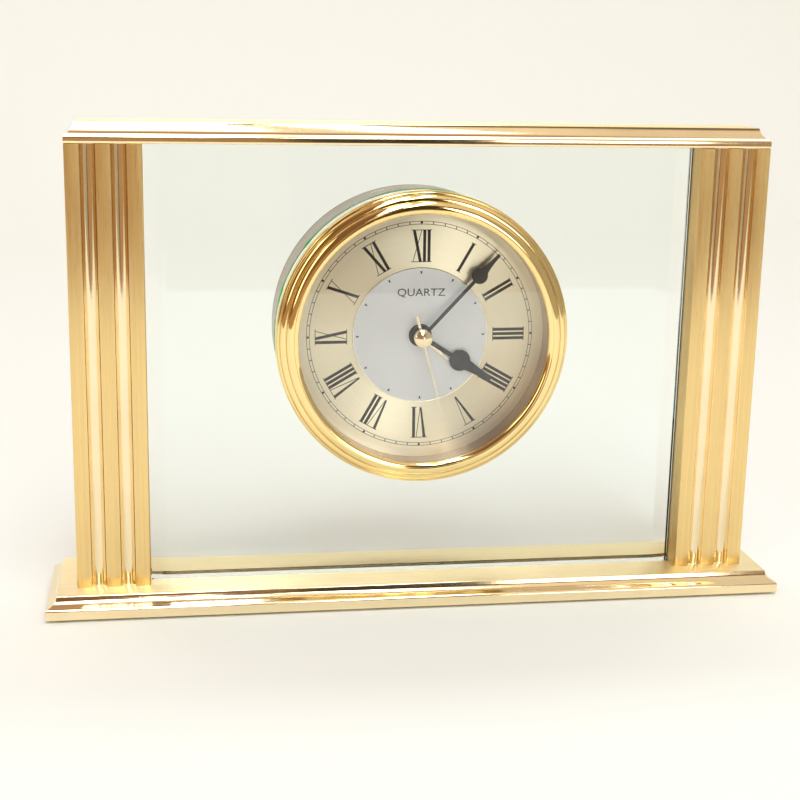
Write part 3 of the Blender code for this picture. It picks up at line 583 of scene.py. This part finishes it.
bez = [(45.45, -5.66), (46.95, -5.66), (47.20, -5.72), (47.32, -5.88), (47.36, -6.30)]
bez += ovolo(47.38, -6.45, 46.58, -8.30, 16)
bez += [(46.55, -7.85), (46.41, -7.85)]
bez += ovolo(46.41, -8.50, 44.50, -10.05, 18)
bez += [(44.48, -9.45), (44.33, -9.45)]
bez += ovolo(44.33, -10.20, 41.95, -11.58, 20)
bez += [(41.94, -11.10), (41.79, -11.10)]
bez += [(41.79 - 1.54 * math.sin(math.radians(a)), -10.55 - 1.02 * math.cos(math.radians(a))) for a in range(5, 91, 5)]
bez += [(40.25, -10.47), (42.05, -10.47), (42.05, -1.0), (43.55, -1.0), (43.55, -5.15), (45.45, -5.15)]
revolve("bezel_ring", bez, 288, ["bezel"], origin=(0, 0, ZC), smooth=32, slot="polished_gold", replace=("bezel",))
revolve("gasket_ring", [(45.8, -5.25), (45.8, -5.55), (46.7, -5.55), (46.7, -5.25)], 160, ["rubber"],
        slot="soft_rubber", replace=("bezel_gasket",))
revolve("grip_ring", [(45.45, -4.2), (46.55, -4.0), (46.65, -3.0), (46.5, -1.0), (46.65, 0.0), (46.5, 1.0), (46.65, 3.0),
                      (46.55, 4.0), (45.45, 4.2)], 160, ["rubber"], slot="soft_rubber", replace=("grip_band",))
revolve("crystal_lens", [(0, -10.44), (41.45, -10.44), (41.7, -10.2), (41.7, -9.15), (41.5, -8.95), (0, -8.95)], 160,
        ["acrylic"], closed=False, smooth=20, slot="clear_acrylic", replace=("crystal",))
# the reflector takes the darkened gold: painted shade in the recess
revolve("reflector", [(40.65, -8.72), (40.80, -8.80), (41.75, -8.80), (41.75, -0.66), (40.65, -0.66)], 256, ["wall"],
        smooth=40, slot="polished_gold", replace=("reflector_ring",), origin=(0, 0, ZC))

# dial plate: the gold dial with its printing, and the silver disc
revolve("dial_face", [(3.8, -0.6), (22.35, -0.6), (40.2, -0.6), (41.4, -0.58), (41.5, -0.1), (3.8, -0.1)], 256, ["dial"],
        origin=(0, 0, ZC), smooth=30, slot="dial_gold", replace=("dial_plate",))
revolve("dial_disc", [(3.8, -0.65), (3.8, -0.93), (21.85, -0.93), (21.9, -0.98), (22.12, -0.98), (22.2, -0.9), (22.2, -0.65)],
        192, ["silver", "ring_edge"], faces=[0, 0, 1, 1, 1, 0, 0], origin=(0, 0, ZC), smooth=30, slot="dial_silver",
        replace=("dial_centre",))

TOP = -0.605


def printed(name, polys, y, thick=0.02):
    """Flat printed shapes: each polygon (x, z) becomes a thin closed slab standing on the dial."""
    b = Body()
    for pts in polys:
        f, k = b.ring(at_y(pts, y - thick)), b.ring(at_y(pts, y))
        b.wall(f, k)
        b.cap(f)
        b.cap(k)
    return b.make(name, ["print"], slot="hand_black", smooth=30)


THICK, THIN, SERIF = 0.96, 0.22, 0.22
R_IN, R_OUT = 23.95, 34.15


def bar(x0, z0, x1, z1, w0, w1=None):
    """A stroke whose ends are level: w0 and w1 are its widths across at the bottom and the top."""
    w1 = w0 if w1 is None else w1
    return [(x0 - w0 / 2, z0), (x0 + w0 / 2, z0), (x1 + w1 / 2, z1), (x1 - w1 / 2, z1)]


def numeral(text):
    """Polygons of a roman numeral about x = 0 between R_IN and R_OUT, feet towards the centre."""
    width = {"I": 0.90, "V": 3.3, "X": 3.15}
    gap = 0.55
    total = sum(width[c] for c in text) + sum(
        (0.30 if "V" in (a, c) or "X" in (a, c) else gap) for a, c in zip(text, text[1:]))
    x, out, lo, hi = -total / 2, [], R_IN, R_OUT
    feet, heads = [], []
    for i, ch in enumerate(text):
        w = width[ch]
        if ch == "I":
            out.append(bar(x + w / 2, lo, x + w / 2, hi, THICK))
            feet.append((x, x + w))
            heads.append((x, x + w))
        elif ch == "V":
            mid = x + w * 0.56
            out.append(bar(mid - 0.08, lo, x + 0.5, hi, 0.52, THICK))
            out.append(bar(mid + 0.10, lo, x + w - 0.12, hi, THIN))
            heads += [(x, x + 1.0), (x + w - 0.35, x + w + 0.1)]
        else:
            out.append(bar(x + w - 0.55, lo, x + 0.5, hi, THICK))
            out.append(bar(x + 0.15, lo, x + w - 0.2, hi, THIN))
            feet += [(x, x + 0.3), (x + w - 1.0, x + w - 0.1)]
            heads += [(x + 0.05, x + 0.95), (x + w - 0.3, x + w)]
        x += w
        if i + 1 < len(text):
            x += 0.30 if "V" in (ch, text[i + 1]) or "X" in (ch, text[i + 1]) else gap
    over = 0.42
    h0, h1 = min(a for a, _ in heads) - over, max(c for _, c in heads) + over
    out.append([(h0, hi - SERIF / 2), (h1, hi - SERIF / 2), (h1, hi + SERIF / 2), (h0, hi + SERIF / 2)])
    if feet:
        g0, g1 = min(a for a, _ in feet) - over, max(c for _, c in feet) + over
        out.append([(g0, lo - SERIF / 2), (g1, lo - SERIF / 2), (g1, lo + SERIF / 2), (g0, lo + SERIF / 2)])
    return out


ROMAN = {1: "I", 2: "II", 3: "III", 4: "IIII", 5: "V", 6: "VI", 7: "VII", 8: "VIII", 9: "IX", 10: "X", 11: "XI",
         12: "XII"}
polys = []
for hour, text in ROMAN.items():
    for p in numeral(text):
        polys.append(turned(p, 30 * hour - 0.5))
# strokes that cross would hide each other's faces, so every other one is a hair lower
b = Body()
for i, pts in enumerate(polys):
    lift = 0.004 * (i % 3)
    f, k = b.ring(at_y(pts, TOP - 0.02 - lift)), b.ring(at_y(pts, TOP))
    b.wall(f, k)
    b.cap(f)
    b.cap(k)
b.make("dial_numerals", ["print"], slot="hand_black", smooth=30)


def thin_ring(body, r, w, y, n=240):
    a, c = body.ring(at_y(circ(r - w / 2, n), y - 0.015)), body.ring(at_y(circ(r + w / 2, n), y - 0.015))
    d, e = body.ring(at_y(circ(r - w / 2, n), y)), body.ring(at_y(circ(r + w / 2, n), y))
    body.wall(a, c)
    body.wall(d, e)
    body.wall(a, d)
    body.wall(c, e)


b = Body()
thin_ring(b, 36.02, 0.16, TOP)
thin_ring(b, 36.94, 0.16, TOP)
for k in range(60):
    if k % 5:
        pts = [(-0.14, 36.06), (0.14, 36.06), (0.14, 36.92), (-0.14, 36.92)]
    else:
        pts = [(0.40 * math.sin(a), 36.55 + 0.42 * math.cos(a)) for a in [math.pi * q / 8 for q in range(16)]]
    pts = turned(pts, 6 * k - 0.5)
    f, g = b.ring(at_y(pts, TOP - 0.018)), b.ring(at_y(pts, TOP))
    b.wall(f, g)
    b.cap(f)
    b.cap(g)
b.make("dial_track", ["print"], slot="hand_black", smooth=30)
b = Body()
for k in range(12):
    pts = turned([(-0.15, 20.1), (0.15, 20.1), (0.32, 20.98), (-0.32, 20.98)], 30 * k - 0.5)
    f, g = b.ring(at_y(pts, -0.955)), b.ring(at_y(pts, -0.935))
    b.wall(f, g)
    b.cap(f)
    b.cap(g)
b.make("dial_hour_marks", ["print"], slot="hand_black", smooth=30)


def lettering(name, text, height, width, z_mid, y):
    """Small raised print across the disc."""
    cu = bpy.data.curves.new(name, "FONT")
    cu.body = text
    cu.align_x, cu.align_y = "CENTER", "CENTER"
    cu.extrude = 0.5
    cu.resolution_u = 6
    tmp = bpy.data.objects.new(name + "_curve", cu)
    scene.collection.objects.link(tmp)
    dg = bpy.context.evaluated_depsgraph_get()
    me = bpy.data.meshes.new_from_object(tmp.evaluated_get(dg))
    bpy.data.objects.remove(tmp)
    xs = [v.co.x for v in me.vertices]
    ys = [v.co.y for v in me.vertices]
    cx, cy = (min(xs) + max(xs)) / 2, (min(ys) + max(ys)) / 2
    kx, ky = width / (max(xs) - min(xs)), height / (max(ys) - min(ys))
    for v in me.vertices:
        x, z, d = (v.co.x - cx) * kx, (v.co.y - cy) * ky, v.co.z
        v.co = Vector((x * MM, (y - 0.02 * (0.5 + d)) * MM, (z + z_mid) * MM))
    me.materials.clear()
    me.materials.append(M["print"])
    ob = bpy.data.objects.new(name, me)
    scene.collection.objects.link(ob)
    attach(ob, "body")
    return ob


lettering("dial_lettering", "QUARTZ", 2.9, 15.5, ZC + 13.9, -0.935)


# ------------------------------------------------------------------ hands
def spade(hub_r, shaft, lobe_at, lobe_r, tip, tip_w, n=28):
    right, a0 = [], math.asin(shaft / hub_r)
    for i in range(1, 25):
        a = -math.pi / 2 + (math.pi - a0) * i / 24
        right.append((hub_r * math.cos(a), hub_r * math.sin(a)))
    b0 = math.asin(min(1, shaft / lobe_r))
    for i in range(n + 1):
        a = -math.pi / 2 + b0 + (math.radians(148) - b0) * i / n
        right.append((lobe_r * math.cos(a), lobe_at + lobe_r * math.sin(a)))
    x0, z0 = right[-1]
    for i in range(1, 15):
        t = i / 14
        right.append((tip_w + (x0 - tip_w) * (1 - t) ** 2.1, z0 + (tip - z0) * t))
    right.append((tip_w * 0.55, tip + tip_w * 0.5))
    left = [(-x, z) for x, z in reversed(right)]
    return [(0.0, -hub_r)] + right + left


def flat_hand(name, outline, deg, y_front, y_back, bore, mats, body, replace, slot, boss=None, bev=0.06):
    b = Body()
    pts = turned(outline, deg)
    hole = circ(bore, 48)
    fo, fi = b.ring(at_y(pts, y_front)), b.ring(at_y(hole, y_front))
    bo = b.ring(at_y(pts, y_back))
    b.wall(fo, bo)
    b.cap(fo, [fi])
    if boss:
        br, by = boss
        c0, c1, bi = b.ring(at_y(circ(br, 48), y_back)), b.ring(at_y(circ(br, 48), by)), b.ring(at_y(hole, by))
        b.cap(bo, [c0])
        b.wall(c0, c1)
        b.cap(c1, [bi])
        b.wall(fi, bi)
    else:
        bi = b.ring(at_y(hole, y_back))
        b.cap(bo, [bi])
        b.wall(fi, bi)
    return b.make(name, mats, (0, 0, ZC), smooth=32, body=body, slot=slot, replace=replace, bevel=bev, segs=2,
                  bevel_angle=60)


flat_hand("hand_hour", spade(3.45, 0.72, 15.3, 3.45, 27.0, 1.05), 122.2, -2.45, -2.1, 1.65, ["hand"], "hour_arbor",
          ("hour_hand",), "hand_black")
flat_hand("hand_minute", spade(2.75, 0.56, 27.0, 2.62, 36.0, 0.55), 42.75, -4.25, -3.95, 1.05, ["hand"], "minute_arbor",
          ("minute_hand",), "hand_black", boss=(2.4, -3.45))
second = []
for i in range(0, 17):
    a = math.radians(-70 + 150 * i / 16)
    second.append((1.5 * math.cos(a), 1.5 * math.sin(a)))
second += [(0.19, 3.2), (0.10, 25.3)]
second = second + [(-x, z) for x, z in reversed(second)] + [(-0.40, -2.2), (-0.45, -7.1), (0.45, -7.1), (0.40, -2.2)]
flat_hand("hand_second", second, 164.6, -5.1, -4.95, 0.45, ["hand_gold"], "second_arbor", ("second_hand",), "hand_gold",
          bev=0.03)
alarm = spade(3.3, 0.45, 9.0, 0.46, 18.6, 0.10, 12)
flat_hand("hand_alarm", alarm, 130.8, -1.55, -1.3, 2.25, ["hand_gold"], "alarm_arbor", ("alarm_hand",), "hand_gold",
          bev=0.05)
revolve("cap_cone", [(0, -8.05), (0.08, -8.04), (2.70, -7.40), (2.80, -7.33), (2.85, -7.2), (2.85, -5.25), (2.6, -5.2), (0, -5.2)], 96,
        ["cap"], closed=False, smooth=24, body="second_arbor", slot="hand_gold", replace=("centre_cap",), origin=(0, 0, ZC))


# ------------------------------------------------------------------ rear case and fittings
MINUTE_AXIS, ALARM_AXIS = (6.86, 2.5), (-7.16, 2.6)
POSTS = [(37.0 * math.cos(math.radians(a)), 37.0 * math.sin(math.radians(a))) for a in (30, 150, 270)]
BATTERY_W, SWITCH_W = -19.3, 33.2


def rear_case():
    b, n = Body(), 256
    outer = [(45.2, -4.85), (45.2, 5.25), (46.1, 5.25), (46.27, 5.45), (46.27, 24.6), (46.12, 24.75), (46.12, 25.15),
             (46.27, 25.3)]
    for i in range(7):
        a = math.pi / 2 * i / 6
        outer.append((45.17 + 1.1 * math.cos(a), 26.0 + 1.1 * math.sin(a)))
    inner = [(43.85, -4.85), (43.85, 6.4), (44.87, 6.4), (44.87, 25.1)]
    lo = [b.ring(at_y(circ(r, n), y)) for r, y in outer]
    li = [b.ring(at_y(circ(r, n), y)) for r, y in inner]
    for p, q in zip(lo, lo[1:]):
        b.wall(p, q)
    for p, q in zip(li, li[1:]):
        b.wall(p, q)
    b.wall(lo[0], li[0])
    holes = ([circ(1.5, 32, x, ZC + z) for x, z in POSTS]
             + [circ(2.4, 32, MINUTE_AXIS[0], ZC + MINUTE_AXIS[1]), circ(2.4, 32, ALARM_AXIS[0], ZC + ALARM_AXIS[1])]
             + [rrect(0, ZC + BATTERY_W, 27.3, 8.3, 1.5, 6), rrect(0, ZC + SWITCH_W, 5.2, 1.6, 0.6, 4)]
             + [rrect(-23.0, ZC + z, 6.0, 0.8, 0.78, 6) for z in (10.0, 14.0, 18.0)])
    ho, hi = [], []
    for pts in holes:
        p, q = b.ring(at_y(pts, 27.1)), b.ring(at_y(pts, 25.1))
        b.wall(p, q)
        ho.append(p)
        hi.append(q)
    b.cap(lo[-1], ho)
    b.cap(li[-1], hi)
    return b.make("case_can", ["case"], (0, 0, ZC), smooth=34, slot="grey_case", replace=("rear_case",))


rear_case()


def knurled_knob(name, axis, body, replace):
    """A moulded setting knob: bevelled, finely knurled rim, dished end, short stem."""
    b, teeth = Body(), 40
    cx, cz = axis[0], ZC + axis[1]

    def rim(r, depth):
        pts = []
        for i in range(teeth * 6):
            cut = (0.0, 0.0, 0.45, 1.0, 1.0, 0.45)[i % 6] * depth
            a = 2 * math.pi * i / (teeth * 6)
            pts.append((cx + (r - cut) * math.cos(a), cz + (r - cut) * math.sin(a)))
        return pts

    rows = [b.ring(at_y(rim(r, d), y)) for r, d, y in
            ((5.20, 0.0, 27.5), (5.45, 0.02, 27.6), (5.6, 0.22, 27.85), (5.6, 0.22, 30.5), (5.42, 0.04, 30.85),
             (5.15, 0.0, 31.0), (4.35, 0.0, 31.0), (4.15, 0.0, 30.85), (3.9, 0.0, 30.45))]
    for p, q in zip(rows, rows[1:]):
        b.wall(p, q)
    hub = [b.ring(at_y(circ(r, 48, cx, cz), y)) for r, y in ((1.6, 30.45), (1.5, 30.75), (1.2, 30.85))]
    b.cap(rows[-1], [hub[0]])
    b.wall(hub[0], hub[1])
    b.wall(hub[1], hub[2])
    b.cap(hub[2])
    stem0, stem1 = b.ring(at_y(circ(2.1, 48, cx, cz), 27.5)), b.ring(at_y(circ(2.1, 48, cx, cz), 25.4))
    b.cap(rows[0], [stem0])
    b.wall(stem0, stem1)
    b.cap(stem1)
    return b.make(name, ["black"], (cx, 0, cz), smooth=28, body=body, slot="black_plastic", replace=replace)


knurled_knob("knob_time", MINUTE_AXIS, "setting_arbor", ("time_set_knob",))
knurled_knob("knob_alarm", ALARM_AXIS, "alarm_setting_arbor", ("alarm_set_knob",))


def ridge(b, cx, cz, hx, hz, y0, y1, r, edge):
    """One bevelled rib standing on a face."""
    a, c, d = (b.ring(at_y(rrect(cx, cz, hx - k, hz - k, max(0.05, r - k), 4), y))
               for k, y in ((0.0, y0), (0.0, y1 - edge), (edge, y1)))
    b.wall(a, c)
    b.wall(c, d)
    b.cap(a)
    b.cap(d)


def battery_lid():
    b = Body()
    cz = ZC + BATTERY_W
    rows = [b.ring(at_y(rrect(0, cz, 27.0 - k, 8.0 - k, 1.4 - k, 8), y))
            for k, y in ((0.15, 25.2), (0.0, 25.35), (0.0, 26.9), (0.08, 27.04), (0.22, 27.1))]
    for p, q in zip(rows, rows[1:]):
        b.wall(p, q)
    b.cap(rows[0])
    b.cap(rows[-1])
    for i in range(7):
        ridge(b, (i - 3) * 1.8, cz, 0.42, 2.0, 27.05, 27.75, 0.4, 0.18)
    pts = [(-1.5, -5.2), (1.5, -5.2), (0, -6.9)]
    ring = [b.ring([(x, y, cz + z) for x, z in pts]) for y in (27.05, 27.3)]
    b.wall(*ring)
    b.cap(ring[0])
    b.cap(ring[1])
    return b.make("lid_battery", ["case"], (0, 26.0, cz), smooth=30, body="battery_lid", slot="grey_case",
                  replace=("battery_cover",))


battery_lid()


def switch_slider():
    b = Body()
    cz = ZC + SWITCH_W
    ridge(b, 0, cz, 7.6, 2.6, 23.9, 24.8, 0.3, 0.1)
    ridge(b, 0, cz, 2.8, 1.3, 24.75, 27.45, 0.2, 0.05)
    ridge(b, 0, cz, 3.4, 2.2, 27.4, 28.7, 0.6, 0.25)
    for x in (-2.1, -0.7, 0.7, 2.1):
        ridge(b, x, cz, 0.36, 1.75, 28.65, 29.35, 0.3, 0.16)
    return b.make("slider_alarm", ["black"], (0, 26.0, cz), smooth=30, body="alarm_slider", slot="black_plastic",
                  replace=("alarm_switch",))


switch_slider()
for i, (px, pz) in enumerate(POSTS):
    b = Body()
    cx, cz = px, ZC + pz
    rows = [b.ring(at_y(circ(r, 48, cx, cz), y)) for r, y in
            ((1.15, 17.0), (1.15, 27.2), (2.15, 27.2), (2.3, 27.32), (2.3, 27.85), (2.22, 28.1), (2.02, 28.3), (1.75, 28.43),
             (1.45, 28.5))]
    b.cap(rows[0])
    for p, q in zip(rows, rows[1:]):
        b.wall(p, q)
    w, ln = 0.26, 1.15
    cross = [(w, w), (w, ln), (-w, ln), (-w, w), (-ln, w), (-ln, -w), (-w, -w), (-w, -ln), (w, -ln), (w, -w), (ln, -w),
             (ln, w)]
    turn_by = math.radians((20, 65, 40)[i])
    cross = [(cx + x * math.cos(turn_by) - z * math.sin(turn_by), cz + x * math.sin(turn_by) + z * math.cos(turn_by))
             for x, z in cross]
    top, deep = b.ring(at_y(cross, 28.5)), b.ring(at_y(cross, 27.7))
    b.cap(rows[-1], [top])
    b.wall(top, deep)
    b.cap(deep)
    b.make("screw_%d" % (i + 1), ["steel"], (cx, 0, cz), smooth=30, slot="steel", replace=("case_screw_%d" % (i + 1),))

# moulded marks on the back of the case: a turning arrow by each knob, a dot and a bar by the switch
b = Body()
for (ax, az) in (MINUTE_AXIS, ALARM_AXIS):
    arc = [math.radians(a) for a in range(40, 141, 5)]
    outer = [(ax + 7.6 * math.cos(a), ZC + az + 7.6 * math.sin(a)) for a in arc]
    inner = [(ax + 7.15 * math.cos(a), ZC + az + 7.15 * math.sin(a)) for a in reversed(arc)]
    head = [(ax + r * math.cos(math.radians(a)), ZC + az + r * math.sin(math.radians(a)))
            for r, a in ((8.3, 40), (6.45, 40), (7.375, 26))]
    for pts in (outer + inner, head):
        p, q = b.ring(at_y(pts, 27.05)), b.ring(at_y(pts, 27.22))
        b.wall(p, q)
        b.cap(p)
        b.cap(q)
for pts in (circ(0.8, 32, -8.2, ZC + SWITCH_W), rrect(8.2, ZC + SWITCH_W, 1.3, 0.35, 0.3, 4)):
    p, q = b.ring(at_y(pts, 27.05)), b.ring(at_y(pts, 27.25))
    b.wall(p, q)
    b.cap(p)
    b.cap(q)
b.make("case_marks", ["nylon"], (0, 0, ZC), smooth=30, slot="white_nylon")

SLOTS = {"brushed_gold": "brush_x_painted_highlight", "polished_gold": "shine", "dial_gold": "dial", "dial_silver": "silver",
         "hand_black": "hand", "hand_gold": "hand_gold", "clear_glass": "glass", "clear_acrylic": "acrylic",
         "grey_case": "case", "soft_rubber": "rubber", "felt": "felt", "steel": "steel", "gear_brass": "gear",
         "white_nylon": "nylon", "black_plastic": "black", "copper": "copper", "board": "board", "magnet": "magnet",
         "cell_sleeve": "cell"}
for row in frame["record"]["subparts"]:
    ob = frame["nodes"][row["node"]]
    mat = M[SLOTS[row["material_slot"]]]
    if ob.data.materials:
        for i in range(len(ob.data.materials)):
            ob.data.materials[i] = mat
    else:
        ob.data.materials.append(mat)

# ------------------------------------------------------------------ floor, backdrop and light
def plain(name, colour, rough=0.9):
    m, nt, b_ = new_mat(name)
    v = coords(nt)
    nt.links.new(ramp(nt, noise(nt, v, 3.0, 2.0), [(0.3, tuple(c * 0.995 for c in colour)), (0.7, colour)]),
                 b_.inputs["Base Color"])
    b_.inputs["Roughness"].default_value = rough
    b_.inputs["Specular IOR Level"].default_value = 0.1
    return m


def sweep():
    """A white table that runs back and curves up into a backdrop."""
    me = bpy.data.meshes.new("studio_sweep")
    prof = [(-0.60, 0.0), (0.9, 0.0)]
    for i in range(1, 17):
        a = math.pi / 2 * i / 16
        prof.append((0.9 + 0.5 * math.sin(a), 0.5 * (1 - math.cos(a))))
    prof.append((1.4, 1.15))
    v, f = [], []
    for y, z in prof:
        v += [(-2.4, y, z), (2.4, y, z)]
    for i in range(len(prof) - 1):
        f.append((2 * i, 2 * i + 1, 2 * i + 3, 2 * i + 2))
    me.from_pydata(v, [], f)
    for p in me.polygons:
        p.use_smooth = True
    me.materials.append(plain("studio_white", (0.90, 0.925, 0.91)))
    ob = bpy.data.objects.new("studio_sweep", me)
    scene.collection.objects.link(ob)


sweep()


def area(name, loc, target, sx, sy, power, colour=(1, 1, 1)):
    d = bpy.data.lights.new(name, "AREA")
    d.shape = "RECTANGLE"
    d.size, d.size_y = sx, sy
    d.energy = power
    d.color = colour
    ob = bpy.data.objects.new(name, d)
    ob.location = loc
    ob.rotation_euler = (Vector(target) - Vector(loc)).to_track_quat("-Z", "Y").to_euler()
    scene.collection.objects.link(ob)
    return ob


area("panel_left", (-0.105, -1.70, 1.45), (-0.105, -1.70, 0), 0.29, 2.7, 19.5, (0.90, 1.0, 1.06))
area("panel_right", (0.262, -1.70, 1.45), (0.262, -1.70, 0), 0.156, 2.7, 10.4, (0.90, 1.0, 1.06))
area("back_fill", (0, 0.80, 1.60), (0, 0.30, 0.0), 2.6, 0.4, 10.0, (0.90, 1.0, 1.08))

w = bpy.data.worlds.new("room")
scene.world = w
w.use_nodes = True
nt = w.node_tree
bg = nt.nodes["Background"]
tc = node(nt, "ShaderNodeTexCoord")
sep = node(nt, "ShaderNodeSeparateXYZ")
nt.links.new(tc.outputs["Generated"], sep.inputs[0])
DX, DY, DZ = sep.outputs["X"], sep.outputs["Y"], sep.outputs["Z"]


def step_at(v, at, soft):
    n = node(nt, "ShaderNodeMapRange", interpolation_type="SMOOTHSTEP")
    n.inputs["From Min"].default_value = at - soft
    n.inputs["From Max"].default_value = at + soft
    nt.links.new(v, n.inputs["Value"])
    return n.outputs["Result"]


def both(*fs):
    out = fs[0]
    for f in fs[1:]:
        n = node(nt, "ShaderNodeMath", operation="MULTIPLY")
        nt.links.new(out, n.inputs[0])
        nt.links.new(f, n.inputs[1])
        out = n.outputs[0]
    return out


def inverse(f):
    n = node(nt, "ShaderNodeMath", operation="SUBTRACT")
    n.inputs[0].default_value = 1.0
    nt.links.new(f, n.inputs[1])
    return n.outputs[0]


def within(v, lo_, hi_, soft):
    return both(step_at(v, lo_, soft), inverse(step_at(v, hi_, soft)))


def paint(base, colour, mask):
    n = node(nt, "ShaderNodeMix", data_type="RGBA")
    nt.links.new(mask, n.inputs[0])
    nt.links.new(base, n.inputs[6])
    n.inputs[7].default_value = (*colour, 1)
    return n.outputs[2]


front = inverse(step_at(DY, 0.0, 0.12))
col = ramp(nt, remap(nt, DZ, 0.0, 1.0, -1.0, 1.0),
           [(0.30, (0.42, 0.30, 0.19)), (0.46, (0.38, 0.25, 0.14)), (0.55, (0.32, 0.20, 0.12)), (0.70, (0.16, 0.11, 0.075)),
            (0.78, (0.40, 0.34, 0.25)), (0.86, (0.72, 0.66, 0.54)), (1.0, (0.78, 0.73, 0.62))])
col = paint(col, (0.52, 0.31, 0.22), both(step_at(DZ, 0.72, 0.10), inverse(step_at(DX, -0.12, 0.05))))
col = paint(col, (0.95, 0.80, 0.62), both(front, within(DX, -0.12, 0.29, 0.03), step_at(DZ, 0.46, 0.05)))
col = paint(col, (0.21, 0.11, 0.06), both(front, inverse(step_at(DX, 0.0, 0.10)), inverse(step_at(DZ, 0.80, 0.16))))
col = paint(col, (0.46, 0.275, 0.14), both(front, inverse(step_at(DX, 0.06, 0.12)), inverse(step_at(DZ, 0.0, 0.03))))
col = paint(col, (0.44, 0.40, 0.33), both(front, step_at(DX, 0.40, 0.04), inverse(step_at(DZ, 0.55, 0.2))))
col = paint(col, (0.84, 0.70, 0.55), both(front, step_at(DX, 0.29, 0.04), step_at(DZ, 0.50, 0.08)))
col = paint(col, (0.050, 0.042, 0.030), both(front, within(DX, 0.085, 0.215, 0.012), within(DZ, -0.16, 0.36, 0.05)))
col = paint(col, (7.0, 6.9, 6.6), both(front, within(DX, 0.225, 0.345, 0.008), within(DZ, -0.05, 0.24, 0.02)))
col = paint(col, (2.6, 2.45, 1.75), both(front, within(DX, -0.74, -0.54, 0.012), within(DZ, 0.04, 0.64, 0.03)))
col = paint(col, (4.0, 3.9, 3.7), both(front, within(DX, -0.0125, -0.0035, 0.002), within(DZ, 0.16, 0.30, 0.02)))
col = paint(col, (4.0, 3.9, 3.7), both(front, within(DX, 0.0195, 0.0285, 0.002), within(DZ, 0.16, 0.30, 0.02)))
col = paint(col, (0.50, 0.30, 0.20), both(inverse(front), inverse(step_at(DX, 0.30, 0.08))))
# straight behind the object, or seen through the glass alone, the room is plain and pale from every side
lp = node(nt, "ShaderNodeLightPath")


def math2(op, x, y):
    n = node(nt, "ShaderNodeMath", operation=op)
    for i, v in enumerate((x, y)):
        if isinstance(v, (int, float)):
            n.inputs[i].default_value = v
        else:
            nt.links.new(v, n.inputs[i])
    return n.outputs[0]


bounced = math2("ADD", lp.outputs["Glossy Depth"], lp.outputs["Diffuse Depth"])
through = math2("MULTIPLY", lp.outputs["Is Transmission Ray"], math2("LESS_THAN", bounced, 0.5))
col = paint(col, (0.93, 0.93, 0.90), math2("MAXIMUM", lp.outputs["Is Camera Ray"], through))
nt.links.new(col, bg.inputs["Color"])
bg.inputs["Strength"].default_value = 1.0

# ------------------------------------------------------------------ camera
yaw, pitch, roll = 0.1611, 0.2394, 0.0199
loc = Vector((-82.8355, -472.5536, 180.6363 + PAD_T)) * MM
fwd = Vector((math.sin(yaw) * math.cos(pitch), math.cos(yaw) * math.cos(pitch), -math.sin(pitch)))
r0 = fwd.cross(Vector((0, 0, 1))).normalized()
u0 = r0.cross(fwd)
right = r0 * math.cos(roll) + u0 * math.sin(roll)
up = -r0 * math.sin(roll) + u0 * math.cos(roll)
cam = bpy.data.cameras.new("camera")
cam.sensor_width = 36.0
cam.lens = 36.0 * 1506.947 / 800.0
cam.clip_start, cam.clip_end = 0.01, 20.0
ob = bpy.data.objects.new("camera", cam)
ob.matrix_world = Matrix(((right.x, up.x, -fwd.x, loc.x), (right.y, up.y, -fwd.y, loc.y), (right.z, up.z, -fwd.z, loc.z),
                          (0, 0, 0, 1)))
scene.collection.objects.link(ob)
scene.camera = ob
